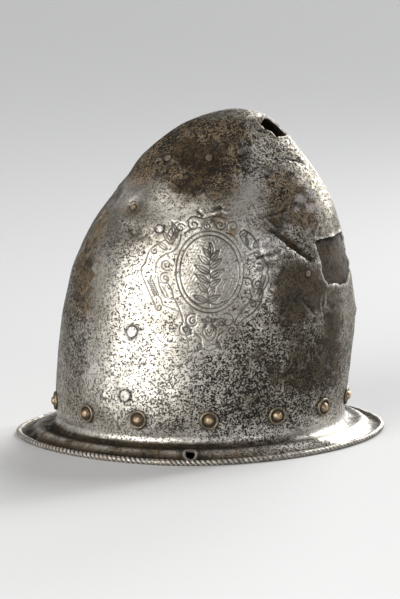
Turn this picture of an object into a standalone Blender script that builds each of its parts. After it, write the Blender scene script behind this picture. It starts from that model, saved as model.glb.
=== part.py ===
"""A tall brimmed skull cap helmet, raised from one sheet of steel, old, dented and torn.

Metres, +Z up. The front of the helmet points along -X and its near side along -Y.
The origin is the middle of the plane that the edge of the brim rests on.
Run it with blender --background --python part.py, or from the text editor.
"""

import math

import bmesh
import bpy
from mathutils import Vector
from mathutils.bvhtree import BVHTree

# Sizes of the sheet
SKULL_HEIGHT = 0.2634
SKULL_LENGTH = 0.237
SKULL_WIDTH = 0.196
BRIM_LENGTH = 0.3008
BRIM_WIDTH = 0.254
BRIM_RISE = 0.014
WALL = 0.0014
EDGE_RADIUS = 0.0024

# How finely the sheet is divided
COLUMNS = 56
WALL_ROWS = 19
ROUND_SIDES = 10

# The gap that every two touching pieces keep
GAP = 0.0003

# Fasteners
RIVET_ROW_HEIGHT = 0.0298
LINING_HEAD_RADIUS = 0.0041
LINING_HEAD_HEIGHT = 0.0031
LINING_HEAD_CROWN = 0.72
LINING_SHANK_RADIUS = 0.0017
WASHER_RADIUS = 0.0076
WASHER_HEIGHT = 0.0016
WASHER_FLOOR = 0.0006
TAIL_HEIGHT = 0.0012
TAIL_SPREAD = 0.0014

# The plate behind the tear
PATCH_THICKNESS = 0.0013

# How far a cutter for a rivet hole reaches, in and out together, and how far a cutter
# for a torn opening stands off the wall on either side
HOLE_DEPTH = 8 * WALL
TEAR_CLEARANCE = 4 * WALL

# From how far off the wall is felt for, where a rivet is seated on it
FEELER_REACH = 14 * WALL

# The hole in the brim
BRIM_HOLE_RADIUS = 0.0035

# The edge of the brim is drawn to a blunt point in front and behind
EDGE_POWER_FRONT = 1.72
EDGE_POWER_BACK = 1.83

# The roll that the brim is turned into, by angle round it from level outwards
ROLL_ANGLES = (150, 105, 60, 15, -30, -66, -114, -150)
ROLL_FLAT_ANGLE = 66

# Level sections of the skull. up is a share of the height of the wall, front and back
# are shares of half its length, half_width of half its width, and keel draws the
# section to a ridge in front and behind: 1 is an oval
SECTIONS = (
    # up, front, back, half_width, keel
    (0.000, -0.981, 1.000, 0.990, 1.00),
    (0.064, -0.990, 1.011, 1.000, 1.00),
    (0.184, -0.969, 1.046, 0.992, 1.02),
    (0.325, -0.932, 1.078, 0.959, 1.05),
    (0.445, -0.879, 1.057, 0.903, 1.08),
    (0.545, -0.804, 1.017, 0.827, 1.12),
    (0.646, -0.692, 0.964, 0.719, 1.16),
    (0.726, -0.568, 0.903, 0.612, 1.20),
    (0.794, -0.462, 0.820, 0.505, 1.22),
    (0.858, -0.346, 0.726, 0.393, 1.25),
    (0.914, -0.211, 0.633, 0.286, 1.25),
    (0.958, -0.063, 0.546, 0.194, 1.22),
    (0.986, 0.105, 0.443, 0.107, 1.12),
    (1.000, 0.278, 0.278, 0.000, 1.00),
)

# The upper face of the brim, from the foot of the wall to the roll. out is a share
# of the way to the edge and up a share of the brim's rise
BRIM_PROFILE = (
    # out, up
    (0.04, 0.84),
    (0.13, 0.72),
    (0.30, 0.63),
    (0.46, 0.61),
    (0.60, 0.48),
    (0.72, 0.30),
    (0.80, 0.235),
)

# Dents of the wall. turn is in degrees round from the back towards the far side, up a
# share of the wall's height, length and width shares of the skull's length, lean the
# angle in degrees of the length from level, and depth a share of the skull's length
DENTS = (
    # name, turn, up, length, width, lean, depth
    ("valley by the tear", -51, 0.585, 0.105, 0.036, -42, 0.0150),
    ("hollow under the torn lip", -66, 0.555, 0.060, 0.034, 8, 0.0070),
    ("dent on the brow", -141, 0.712, 0.058, 0.050, 40, 0.0110),
    ("hollow at the old crack", -131, 0.640, 0.085, 0.040, -28, 0.0070),
    ("flat on the front ridge", -176, 0.800, 0.055, 0.055, 0, 0.0050),
    ("dent below the crown hole", -62, 0.945, 0.060, 0.048, 20, 0.0080),
    ("pinch behind the crown", -26, 0.834, 0.040, 0.030, 15, 0.0060),
    ("knock on the back ridge", -5, 0.342, 0.034, 0.030, 0, -0.0060),
    ("crease below the tear", -39, 0.386, 0.062, 0.032, 90, 0.0060),
    ("flat on the far brow", 128, 0.520, 0.110, 0.080, 30, 0.0070),
    ("dent on the far back", 62, 0.690, 0.070, 0.055, -30, 0.0080),
)

# Outline of the window torn near the back. turn in degrees, up as above
TEAR_OUTLINE = (
    # turn, up
    (-39.4, 0.593),
    (-38.7, 0.559),
    (-37.8, 0.539),
    (-38.3, 0.500),
    (-37.1, 0.467),
    (-34.7, 0.452),
    (-29.0, 0.453),
    (-24.6, 0.442),
    (-15.5, 0.442),
    (-8.7, 0.461),
    (2.5, 0.478),
    (5.5, 0.528),
    (1.5, 0.574),
    (-5.8, 0.600),
    (-21.7, 0.596),
    (-34.1, 0.597),
)

# Outline of the hole at the crown
CROWN_HOLE_OUTLINE = (
    # turn, up
    (-45.0, 0.936),
    (-37.0, 0.929),
    (-36.5, 0.912),
    (-19.0, 0.911),
    (-2.0, 0.917),
    (7.0, 0.938),
    (5.0, 0.958),
    (-9.0, 0.972),
    (-27.0, 0.974),
    (-48.0, 0.957),
)

# The plate behind the tear, an oblong with clipped corners, from turn to turn and from
# up to up
PATCH_TURNS = (-58.0, 26.0)
PATCH_UPS = (0.385, 0.675)

# Lining rivets, by their turn in degrees
LINING_TURNS = (
    -172.6, -140.0, -114.8, -87.1, -59.8, -34.9, -8.0,
    19.0, 46.0, 73.5, 101.0, 129.0, 158.0,
)

# Other rivets. radius, height and shank are real sizes in metres, crown is the share
# of the head's radius that its flat top keeps, and backed says that the plate is
# under the wall there
ODD_RIVETS = (
    # name, material, turn, up, radius, height, crown, shank, backed
    ("side_rivet_upper", "steel_rivet", -120.7, 0.338, 0.0049, 0.0011, 0.80, 0.0015, False),
    ("side_rivet_lower", "steel_rivet", -121.1, 0.136, 0.0050, 0.0011, 0.70, 0.0015, False),
    ("repair_rivet_01", "steel_rivet", -117.3, 0.652, 0.0036, 0.0013, 0.66, 0.0012, False),
    ("repair_rivet_02", "brass_rivet", -141.3, 0.712, 0.0029, 0.0016, 0.50, 0.0011, False),
    ("repair_rivet_03", "steel_rivet", -133.5, 0.858, 0.0032, 0.0013, 0.60, 0.0011, False),
    ("repair_rivet_04", "steel_rivet", -100.3, 0.862, 0.0031, 0.0012, 0.62, 0.0011, False),
    ("repair_rivet_05", "steel_rivet", -76.6, 0.877, 0.0031, 0.0012, 0.62, 0.0011, False),
    ("patch_rivet_near", "steel_rivet", -46.9, 0.498, 0.0024, 0.0009, 0.60, 0.0009, True),
    ("patch_rivet_far", "steel_rivet", 14.5, 0.510, 0.0024, 0.0009, 0.60, 0.0009, True),
)

# Place of the hole in the brim
BRIM_HOLE_TURN = -94.5
BRIM_HOLE_OUT = 0.54

# Colour, roughness and metallic value of each finish
FINISHES = {
    "old_steel": ((0.36, 0.33, 0.29), 0.42, 0.9),
    "patch_steel": ((0.20, 0.18, 0.16), 0.50, 0.9),
    "steel_rivet": ((0.42, 0.40, 0.37), 0.40, 0.9),
    "brass_rivet": ((0.48, 0.36, 0.20), 0.38, 0.9),
    "washer_brass": ((0.36, 0.29, 0.18), 0.45, 0.9),
}


def clear_scene():
    """Remove what a new file opens with."""
    for thing in list(bpy.data.objects):
        bpy.data.objects.remove(thing, do_unlink=True)


def new_collection(name):
    """Make a collection in the scene."""
    collection = bpy.data.collections.new(name)
    bpy.context.scene.collection.children.link(collection)
    return collection


def finish(name):
    """Give the material of a finish, made on first use."""
    material = bpy.data.materials.get(name)
    if material is None:
        colour, roughness, metallic = FINISHES[name]
        material = bpy.data.materials.new(name)
        material.use_nodes = True
        shader = material.node_tree.nodes["Principled BSDF"]
        shader.inputs["Base Color"].default_value = (*colour, 1.0)
        shader.inputs["Roughness"].default_value = roughness
        shader.inputs["Metallic"].default_value = metallic
    return material


def section_at(climb):
    """Blend the sections smoothly; climb 0 is the foot of the wall, the last is the crown."""
    last = len(SECTIONS) - 1
    climb = min(max(climb, 0.0), float(last))
    low = min(int(climb), last - 1)
    share = climb - low
    above_crown = (SECTIONS[-2][0], SECTIONS[-2][2], SECTIONS[-2][1], -SECTIONS[-2][3], 1.0)
    below_foot = tuple(2 * a - b for a, b in zip(SECTIONS[0], SECTIONS[1]))
    rows = (below_foot, *SECTIONS, above_crown)[low:low + 4]
    return tuple(
        b + 0.5 * share * (c - a + share * (2 * a - 5 * b + 4 * c - d + share * (3 * (b - c) + d - a)))
        for a, b, c, d in zip(*rows)
    )


def climb_at(up):
    """Find the climb whose section lies at a share of the wall's height."""
    low, high = 0.0, float(len(SECTIONS) - 1)
    for _ in range(40):
        middle = (low + high) / 2
        if section_at(middle)[0] < up:
            low = middle
        else:
            high = middle
    return (low + high) / 2


def true_form(turn, climb):
    """A point of the undented outer face; turn in radians round from the back."""
    up, front, back, half_width, keel = section_at(climb)
    centre = (front + back) / 2
    reach = (back - front) / 2
    bow = math.copysign(abs(math.sin(turn)) ** keel, math.sin(turn))
    return Vector((
        (centre + reach * math.cos(turn)) * SKULL_LENGTH / 2,
        half_width * bow * SKULL_WIDTH / 2,
        BRIM_RISE + up * (SKULL_HEIGHT - BRIM_RISE),
    ))


def outward(shape, turn, climb):
    """The outward normal of a shape that is worked out from turn and climb."""
    step = 0.02
    last = len(SECTIONS) - 1
    if climb > last - step:
        return Vector((0, 0, 1))
    turn_step = 0.04
    along = shape(turn + turn_step, climb) - shape(turn - turn_step, climb)
    rise = shape(turn, min(climb + step, last)) - shape(turn, max(climb - step, 0.0))
    return along.cross(rise).normalized()


def dent_frames():
    """Work out each dent's middle, its two directions on the wall and its sizes."""
    frames = []
    for _, turn, up, length, width, lean, depth in DENTS:
        turn = math.radians(turn)
        climb = climb_at(up)
        middle = true_form(turn, climb)
        normal = outward(true_form, turn, climb)
        level = Vector((0, 0, 1)).cross(normal).normalized()
        upward = normal.cross(level)
        angle = math.radians(lean)
        long_way = level * math.cos(angle) + upward * math.sin(angle)
        short_way = normal.cross(long_way)
        sizes = [share * SKULL_LENGTH for share in (length, width, depth)]
        frames.append((middle, normal, long_way, short_way, *sizes))
    return frames


def dented_form(frames):
    """Give the outer face with its dents, as a shape of turn and climb."""
    def shape(turn, climb):
        point = true_form(turn, climb)
        sunk = Vector((0, 0, 0))
        for middle, normal, long_way, short_way, length, width, depth in frames:
            offset = point - middle
            along = offset.dot(long_way) / (length / 2)
            across = offset.dot(short_way) / (width / 2)
            under = offset.dot(normal) / length
            sunk -= normal * depth * math.exp(-(along ** 2 + across ** 2 + under ** 2))
        return point + sunk
    return shape


def edge_outline(turn):
    """The outermost line of the brim, seen from above."""
    cosine, sine = math.cos(turn), math.sin(turn)
    power = EDGE_POWER_BACK if cosine > 0 else EDGE_POWER_FRONT
    return Vector((
        math.copysign(abs(cosine) ** (2 / power), cosine) * BRIM_LENGTH / 2,
        math.copysign(abs(sine) ** (2 / power), sine) * BRIM_WIDTH / 2,
        0.0,
    ))


def brim_profile(turn):
    """The brim cut at one turn: its upper face, its roll and its under face, as points."""
    foot = true_form(turn, 0.0)
    foot.z = 0.0
    reach = edge_outline(turn) - foot
    length = reach.length
    way = reach.normalized()
    flat = [(0.0, BRIM_RISE)] + [(out * length, up * BRIM_RISE) for out, up in BRIM_PROFILE]
    roll_rise = EDGE_RADIUS * math.sin(math.radians(ROLL_FLAT_ANGLE))
    roll = []
    for angle in ROLL_ANGLES:
        angle = math.radians(angle)
        roll.append((length - EDGE_RADIUS + EDGE_RADIUS * math.cos(angle), roll_rise + EDGE_RADIUS * math.sin(angle)))
    under = []
    line = flat + roll[:1]
    for before, here, after in zip(line, line[1:], line[2:]):
        run = Vector((after[0] - before[0], after[1] - before[1])).normalized()
        under.append((here[0] + run.y * WALL, here[1] - run.x * WALL))
    outline = flat[1:] + roll + under[::-1]
    return [foot + way * out + Vector((0, 0, up)) for out, up in outline]


def loft(name, rings, top=None, bottom=None):
    """Join closed rings of points with faces, with a fan to a point at either end."""
    form = bmesh.new()
    rows = [[form.verts.new(point) for point in ring] for ring in rings]
    count = len(rows[0])
    for upper, lower in zip(rows, rows[1:]):
        for index in range(count):
            after = (index + 1) % count
            form.faces.new((upper[index], lower[index], lower[after], upper[after]))
    for tip, row in ((top, rows[0]), (bottom, rows[-1])):
        if tip is not None:
            point = form.verts.new(tip)
            for index in range(count):
                form.faces.new((point, row[index], row[(index + 1) % count]))
        else:
            form.faces.new(row)
    bmesh.ops.recalc_face_normals(form, faces=form.faces)
    mesh = bpy.data.meshes.new(name)
    form.to_mesh(mesh)
    form.free()
    return mesh


def add_object(name, mesh, collection, material):
    """Put a mesh in the scene as one piece."""
    thing = bpy.data.objects.new(name, mesh)
    collection.objects.link(thing)
    mesh.materials.append(finish(material))
    return thing


def add_skull(parts, shape):
    """The skull, brim and turned edge: one sheet, so one lofted solid."""
    crown = len(SECTIONS) - 1
    turns = [math.tau * column / COLUMNS for column in range(COLUMNS)]
    climbs = [crown * row / WALL_ROWS for row in range(WALL_ROWS - 1, -1, -1)]
    outer = [[shape(turn, climb) for turn in turns] for climb in climbs]
    inner = [
        [shape(turn, climb) - outward(true_form, turn, climb) * WALL for turn in turns]
        for climb in climbs
    ]
    brim = [list(ring) for ring in zip(*(brim_profile(turn) for turn in turns))]
    tip = shape(0.0, crown)
    mesh = loft("skull", outer + brim + inner[::-1], tip, tip - Vector((0, 0, WALL)))
    mesh.shade_smooth()
    mesh.set_sharp_from_angle(angle=math.radians(50))
    return add_object("skull", mesh, parts, "old_steel")


def add_patch(parts, shape):
    """The plate behind the tear, bent to the inner face of the wall, facet by facet."""
    crown = len(SECTIONS) - 1
    first_column, last_column = (round(turn * COLUMNS / 360) for turn in PATCH_TURNS)
    first_row, last_row = (round(climb_at(up) * WALL_ROWS / crown) for up in PATCH_UPS)
    columns = range(first_column, last_column + 1)
    rows = range(first_row, last_row + 1)
    corners = {(row, column) for row in (first_row, last_row) for column in (first_column, last_column)}
    form = bmesh.new()
    for depth in (WALL + GAP, WALL + GAP + PATCH_THICKNESS):
        grid = {}
        for row in rows:
            for column in columns:
                turn = math.tau * column / COLUMNS
                climb = crown * row / WALL_ROWS
                if (row, column) not in corners:
                    point = shape(turn, climb) - outward(true_form, turn, climb) * depth
                    grid[row, column] = form.verts.new(point)
        for row in rows[:-1]:
            for column in columns[:-1]:
                ring = ((row, column), (row, column + 1), (row + 1, column + 1), (row + 1, column))
                form.faces.new([grid[corner] for corner in ring if corner in grid])
    rim = [edge for edge in form.edges if len(edge.link_faces) == 1]
    bmesh.ops.bridge_loops(form, edges=rim)
    bmesh.ops.recalc_face_normals(form, faces=form.faces)
    mesh = bpy.data.meshes.new("tear_patch")
    form.to_mesh(mesh)
    form.free()
    mesh.shade_smooth()
    mesh.set_sharp_from_angle(angle=math.radians(40))
    return add_object("tear_patch", mesh, parts, "patch_steel")


def wall_seat(tree, point, normal, radius):
    """How high and how low a disc meets the wall, along its own axis from a point."""
    side = normal.orthogonal().normalized()
    other = normal.cross(side)
    spots = [point]
    for share in (0.5, 1.0):
        for step in range(12):
            angle = math.tau * step / 12
            spots.append(point + (side * math.cos(angle) + other * math.sin(angle)) * radius * share)
    high, low = [], []
    for spot in spots:
        top = tree.ray_cast(spot + normal * FEELER_REACH, -normal)[0]
        bottom = tree.ray_cast(spot - normal * FEELER_REACH, normal)[0]
        if top is not None and bottom is not None:
            high.append((top - point).dot(normal))
            low.append((bottom - point).dot(normal))
    return max(high), min(low)


def add_turned(name, profile, place, normal, collection, material):
    """Turn a profile round an axis and stand it on the wall."""
    closed = profile[0] == profile[-1]
    points = profile[:-1] if closed else profile
    edges = [(index, index + 1) for index in range(len(points) - 1)]
    if closed:
        edges.append((len(points) - 1, 0))
    mesh = bpy.data.meshes.new(name)
    mesh.from_pydata([(radius, 0.0, height) for radius, height in points], edges, [])
    thing = add_object(name, mesh, collection, material)
    screw = thing.modifiers.new("turn", "SCREW")
    screw.steps = ROUND_SIDES
    screw.render_steps = ROUND_SIDES
    screw.use_merge_vertices = True
    screw.merge_threshold = 0.00005
    screw.use_smooth_shade = True
    thing.rotation_mode = "QUATERNION"
    thing.rotation_quaternion = normal.to_track_quat("Z", "Y")
    thing.location = place
    return thing


def add_cutter(name, radius, length, place, normal, cutters):
    """A round cutter along an axis."""
    bpy.ops.mesh.primitive_cylinder_add(vertices=ROUND_SIDES, radius=radius, depth=length)
    cutter = bpy.context.object
    cutter.name = name
    for owner in list(cutter.users_collection):
        owner.objects.unlink(cutter)
    cutters.objects.link(cutter)
    cutter.rotation_mode = "QUATERNION"
    cutter.rotation_quaternion = normal.to_track_quat("Z", "Y")
    cutter.location = place
    hide_cutter(cutter)
    return cutter


def hide_cutter(cutter):
    """Keep a cutter out of the model."""
    cutter.hide_render = True
    cutter.display_type = "WIRE"


def add_outline_cutter(name, outline, shape, cutters):
    """A cutter through the wall along a torn outline."""
    outside, inside = [], []
    for turn, up in outline:
        turn = math.radians(turn)
        climb = climb_at(up)
        normal = outward(true_form, turn, climb)
        outside.append(shape(turn, climb) + normal * TEAR_CLEARANCE)
        inside.append(shape(turn, climb) - normal * (TEAR_CLEARANCE + WALL))
    middle_out = sum(outside, Vector()) / len(outside)
    middle_in = sum(inside, Vector()) / len(inside)
    lift = (middle_out - middle_in).normalized() * TEAR_CLEARANCE
    mesh = loft(name, [outside, inside], middle_out + lift, middle_in - lift)
    cutter = bpy.data.objects.new(name, mesh)
    cutters.objects.link(cutter)
    hide_cutter(cutter)
    return cutter


def cut(thing, cutters):
    """Cut a piece with every cutter of a collection."""
    modifier = thing.modifiers.new("cut", "BOOLEAN")
    modifier.operation = "DIFFERENCE"
    modifier.solver = "EXACT"
    modifier.operand_type = "COLLECTION"
    modifier.collection = cutters


def rivet_profile(base, head_radius, head_height, crown, shank, tail_top):
    """Half a rivet, from the top of its head down to its hammered tail."""
    tail_radius = shank + TAIL_SPREAD
    return [
        (0.0, base + head_height),
        (head_radius * crown, base + head_height * 0.86),
        (head_radius, base),
        (shank, base),
        (shank, tail_top),
        (tail_radius, tail_top),
        (0.0, tail_top - TAIL_HEIGHT),
    ]


def washer_profile():
    """A cupped washer: a raised rim round a sunk floor with a hole."""
    hole = LINING_SHANK_RADIUS + GAP
    return [
        (WASHER_RADIUS * 0.86, WASHER_HEIGHT),
        (WASHER_RADIUS, 0.0),
        (hole, 0.0),
        (hole, WASHER_FLOOR),
        (WASHER_RADIUS * 0.66, WASHER_FLOOR),
        (WASHER_RADIUS * 0.86, WASHER_HEIGHT),
    ]


def add_lining_rivets(parts, shape, tree, cutters):
    """The row of brass rivets that held the lining, each on its cupped washer."""
    climb = climb_at((RIVET_ROW_HEIGHT - BRIM_RISE) / (SKULL_HEIGHT - BRIM_RISE))
    for number, turn in enumerate(LINING_TURNS, 1):
        turn = math.radians(turn)
        point = shape(turn, climb)
        normal = outward(shape, turn, climb)
        high, _ = wall_seat(tree, point, normal, WASHER_RADIUS)
        _, low = wall_seat(tree, point, normal, LINING_SHANK_RADIUS + TAIL_SPREAD)
        place = point + normal * (high + GAP)
        add_turned(f"rivet_washer_{number:02d}", washer_profile(), place, normal, parts, "washer_brass")
        tail_top = low - high - 2 * GAP
        profile = rivet_profile(
            WASHER_FLOOR + GAP,
            LINING_HEAD_RADIUS,
            LINING_HEAD_HEIGHT,
            LINING_HEAD_CROWN,
            LINING_SHANK_RADIUS,
            tail_top,
        )
        add_turned(f"lining_rivet_{number:02d}", profile, place, normal, parts, "brass_rivet")
        add_cutter(f"lining hole {number}", LINING_SHANK_RADIUS + GAP, HOLE_DEPTH, point, normal, cutters)


def add_odd_rivets(parts, shape, tree, patch_tree, cutters, patch_cutters):
    """The rivets of the side and of old repairs."""
    for name, material, turn, up, radius, height, crown, shank, backed in ODD_RIVETS:
        turn = math.radians(turn)
        climb = climb_at(up)
        point = shape(turn, climb)
        normal = outward(shape, turn, climb)
        high, _ = wall_seat(tree, point, normal, radius)
        _, low = wall_seat(patch_tree if backed else tree, point, normal, shank + TAIL_SPREAD)
        place = point + normal * high
        profile = rivet_profile(GAP, radius, height, crown, shank, low - high - GAP)
        add_turned(name, profile, place, normal, parts, material)
        add_cutter(f"hole for {name}", shank + GAP, HOLE_DEPTH, point, normal, cutters)
        if backed:
            add_cutter(f"patch hole for {name}", shank + GAP, HOLE_DEPTH, point, normal, patch_cutters)


def tree_of(thing):
    """A search tree of a piece as it is before it is cut."""
    form = bmesh.new()
    form.from_mesh(thing.data)
    tree = BVHTree.FromBMesh(form)
    form.free()
    return tree


def main():
    """Build the helmet."""
    clear_scene()
    parts = new_collection("skull_cap_helmet")
    cutters = new_collection("cutters")
    patch_cutters = new_collection("patch cutters")
    shape = dented_form(dent_frames())

    skull = add_skull(parts, shape)
    patch = add_patch(parts, shape)
    skull_tree = tree_of(skull)
    add_lining_rivets(parts, shape, skull_tree, cutters)
    add_odd_rivets(parts, shape, skull_tree, tree_of(patch), cutters, patch_cutters)

    add_outline_cutter("tear", TEAR_OUTLINE, shape, cutters)
    add_outline_cutter("crown hole", CROWN_HOLE_OUTLINE, shape, cutters)
    turn = math.radians(BRIM_HOLE_TURN)
    foot = true_form(turn, 0.0)
    place = foot.lerp(edge_outline(turn), BRIM_HOLE_OUT)
    place.z = BRIM_RISE / 2
    add_cutter("brim hole", BRIM_HOLE_RADIUS, 2 * BRIM_RISE, place, Vector((0, 0, 1)), cutters)
    cut(skull, cutters)
    cut(patch, patch_cutters)


main()
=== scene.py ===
"""The looks of an old brimmed skull cap helmet: pitted steel, engraved lines, brass rivets, dents and tears.

Metres, +Z up. The front of the helmet points along -X, and -Y is the side that shows.
"""

import math
from types import SimpleNamespace

import bmesh
import bpy
import numpy as np
from mathutils import Matrix, Vector
from mathutils.bvhtree import BVHTree


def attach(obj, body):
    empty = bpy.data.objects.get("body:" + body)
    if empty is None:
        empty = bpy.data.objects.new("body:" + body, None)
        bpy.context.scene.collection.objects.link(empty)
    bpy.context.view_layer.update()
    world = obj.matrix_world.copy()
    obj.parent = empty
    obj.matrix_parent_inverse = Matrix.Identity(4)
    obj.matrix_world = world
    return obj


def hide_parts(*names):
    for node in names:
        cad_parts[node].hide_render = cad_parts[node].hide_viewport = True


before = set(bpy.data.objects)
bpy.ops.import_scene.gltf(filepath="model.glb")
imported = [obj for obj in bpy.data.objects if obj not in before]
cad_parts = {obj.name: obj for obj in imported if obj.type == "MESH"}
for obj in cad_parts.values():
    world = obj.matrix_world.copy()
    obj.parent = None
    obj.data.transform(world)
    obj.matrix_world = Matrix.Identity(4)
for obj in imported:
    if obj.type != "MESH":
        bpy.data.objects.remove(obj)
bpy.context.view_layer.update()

# Sizes of the sheet
SKULL_HEIGHT = 0.2634
SKULL_LENGTH = 0.237
SKULL_WIDTH = 0.196
BRIM_LENGTH = 0.3008
BRIM_WIDTH = 0.254
BRIM_RISE = 0.014
WALL = 0.0014
EDGE_RADIUS = 0.0024
EDGE_POWER_FRONT = 1.72
EDGE_POWER_BACK = 1.83
PATCH_THICKNESS = 0.0012

MM = 0.001

# Level sections of the skull: up, front, back, half width, keel
SECTIONS = np.array((
    (0.000, -0.981, 1.000, 0.990, 1.00),
    (0.064, -0.990, 1.011, 1.000, 1.00),
    (0.184, -0.969, 1.046, 0.992, 1.02),
    (0.325, -0.932, 1.078, 0.959, 1.05),
    (0.445, -0.879, 1.057, 0.903, 1.08),
    (0.545, -0.804, 1.017, 0.827, 1.12),
    (0.646, -0.692, 0.964, 0.719, 1.16),
    (0.726, -0.568, 0.903, 0.612, 1.20),
    (0.794, -0.462, 0.820, 0.505, 1.22),
    (0.858, -0.346, 0.726, 0.393, 1.25),
    (0.914, -0.211, 0.633, 0.286, 1.25),
    (0.958, -0.063, 0.546, 0.194, 1.22),
    (0.986, 0.105, 0.443, 0.107, 1.12),
    (1.000, 0.278, 0.278, 0.000, 1.00),
))
CROWN = len(SECTIONS) - 1

# The upper face of the brim: share of the way out, share of the rise
BRIM_PROFILE = np.array((
    (0.00, 1.00),
    (0.04, 0.84),
    (0.12, 0.70),
    (0.24, 0.605),
    (0.33, 0.60),
    (0.46, 0.63),
    (0.56, 0.545),
    (0.66, 0.36),
    (0.74, 0.22),
    (0.82, 0.175),
    (0.92, 0.20),
    (1.00, 0.22),
))
# The same curve carried on past both of its ends
BRIM_CURVE = np.vstack(((-0.04, 1.2), BRIM_PROFILE, 2 * BRIM_PROFILE[-1] - BRIM_PROFILE[-2]))

# Dents: turn in degrees, up, length, width (shares of the skull's length), lean, depth
DENTS = (
    (-51, 0.585, 0.105, 0.036, -42, 0.0150),
    (-66, 0.555, 0.060, 0.034, 8, 0.0070),
    (-141, 0.712, 0.058, 0.050, 40, 0.0110),
    (-131, 0.640, 0.085, 0.040, -28, 0.0070),
    (-176, 0.800, 0.055, 0.055, 0, 0.0050),
    (-62, 0.945, 0.060, 0.048, 20, 0.0080),
    (-26, 0.834, 0.040, 0.030, 15, 0.0060),
    (-5, 0.342, 0.034, 0.030, 0, -0.0060),
    (-39, 0.386, 0.062, 0.032, 90, 0.0060),
    (128, 0.520, 0.110, 0.080, 30, 0.0070),
    (62, 0.690, 0.070, 0.055, -30, 0.0080),
    # Shallow marks that only the surface shows
    (-118, 0.230, 0.120, 0.030, 75, 0.0030),
    (-127, 0.150, 0.075, 0.030, 60, 0.0034),
    (-52, 0.672, 0.080, 0.045, 18, 0.0050),
    (-70, 0.690, 0.050, 0.030, 25, 0.0030),
    (-100, 0.780, 0.120, 0.070, 10, 0.0026),
    (-78, 0.330, 0.110, 0.060, 80, 0.0024),
    (-150, 0.420, 0.120, 0.050, 80, 0.0032),
    (-36, 0.250, 0.090, 0.050, 85, 0.0026),
    (-85, 0.120, 0.110, 0.050, 5, 0.0018),
    (40, 0.350, 0.100, 0.070, 60, 0.0030),
    (95, 0.250, 0.120, 0.060, 20, 0.0028),
    (150, 0.600, 0.100, 0.050, 70, 0.0032),
    (15, 0.760, 0.060, 0.040, 40, 0.0034),
)

# Cracks and creases of the near side: way along in millimetres seen from the side, width
# and depth of the groove, height of the lip below it, darkness of the groove (dirt and painted
# shade) and brightness of the lip (wear and a painted highlight)
CRACKS = (
    (
        ((-66, 182.5), (-60.2, 182), (-57, 178.8), (-53.8, 177), (-50.6, 171.6), (-44.3, 169.1)),
        0.55, 0.9, 0.3, 1.0, 0.4,
    ),
    (((-57, 178.8), (-56, 174), (-57, 170)), 0.5, 0.6, 0.1, 0.9, 0.2),
    (((-44.3, 169.1), (-39.5, 171.5), (-34.7, 173.4)), 0.5, 0.5, 0.2, 0.9, 0.3),
    (((61.3, 173.4), (67, 169.5), (73.9, 164.7), (84.9, 155.1), (91.5, 149.5)), 3.1, 2.4, 0.9, 1.0, 0.45),
    (((47.5, 154.6), (53.7, 155.6), (60.9, 156.4), (66.5, 158.5)), 0.9, 1.3, 0.7, 1.0, 1.0),
    (((40, 153), (47.5, 154.6)), 0.5, 0.6, 0.3, 0.9, 0.4),
    (((72.8, 225), (79.3, 222.8), (83.4, 222.1), (88, 219)), 0.55, 0.9, 0.6, 0.9, 0.9),
    (((53, 184), (60, 185.4), (67, 187), (72, 189)), 1.3, 0.6, 0.1, 0.7, 0.1),
    (((63, 176), (60, 180), (56, 183)), 0.9, 0.5, 0.3, 0.7, 0.5),
    (((101.0, 119.8), (100.6, 110), (100.4, 100.5)), 0.8, 0.5, 0.3, 0.6, 0.4),
    (((84, 118), (90, 110), (94, 105)), 0.9, 0.4, 0.1, 0.6, 0.2),
    (((93, 165), (95, 172), (99, 177)), 0.6, 0.4, 0.2, 0.7, 0.4),
    (((-71, 188), (-75, 182), (-79, 177)), 0.5, 0.4, 0.3, 0.8, 0.4),
    (((-84, 170), (-89, 160), (-93, 148)), 0.6, 0.3, 0.2, 0.7, 0.3),
    (((-60, 205), (-66, 198), (-71, 190)), 0.6, 0.3, 0.2, 0.6, 0.4),
    (((14, 190), (19, 192.6), (25, 190.5)), 0.9, 0.6, 0.5, 0.9, 0.8),
)

# Small holes rusted into the near side: along and up in millimetres, radius, depth
DEEP_PITS = (
    (2.6, 188.9, 1.9, 0.9),
    (4.6, 187.2, 1.2, 0.8),
    (19.2, 192.4, 2.2, 0.8),
    (-29.5, 224.5, 1.8, 0.7),
    (-43.5, 216.0, 1.2, 0.5),
    (57, 214.0, 2.0, 0.6),
    (62, 208.5, 1.4, 0.6),
    (-85, 93.0, 1.0, 0.5),
    (40, 238.0, 1.6, 0.6),
    (-12, 243.0, 1.3, 0.5),
    (66, 199.0, 1.3, 0.5),
)

# Outline of the window torn near the back: turn in degrees, up
TEAR_OUTLINE = (
    (-39.6, 0.593),
    (-38.7, 0.559),
    (-37.8, 0.539),
    (-38.3, 0.500),
    (-37.1, 0.467),
    (-34.7, 0.452),
    (-29.0, 0.453),
    (-24.6, 0.442),
    (-15.5, 0.442),
    (-8.7, 0.461),
    (2.5, 0.478),
    (5.5, 0.528),
    (1.5, 0.574),
    (-5.8, 0.600),
    (-21.7, 0.596),
    (-34.1, 0.597),
)

# Outline of the hole at the crown
CROWN_HOLE_OUTLINE = (
    (-45.0, 0.936),
    (-37.0, 0.929),
    (-36.5, 0.912),
    (-19.0, 0.911),
    (-2.0, 0.917),
    (7.0, 0.938),
    (5.0, 0.958),
    (-9.0, 0.972),
    (-27.0, 0.974),
    (-48.0, 0.957),
)

# The hole in the brim: turn, share of the way out, radius
BRIM_HOLE = (-94.5, 0.59, 0.0035)

# The plate behind the tear
PATCH_TURNS = (-57.9, 25.7)
PATCH_UPS = (0.402, 0.676)

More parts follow.
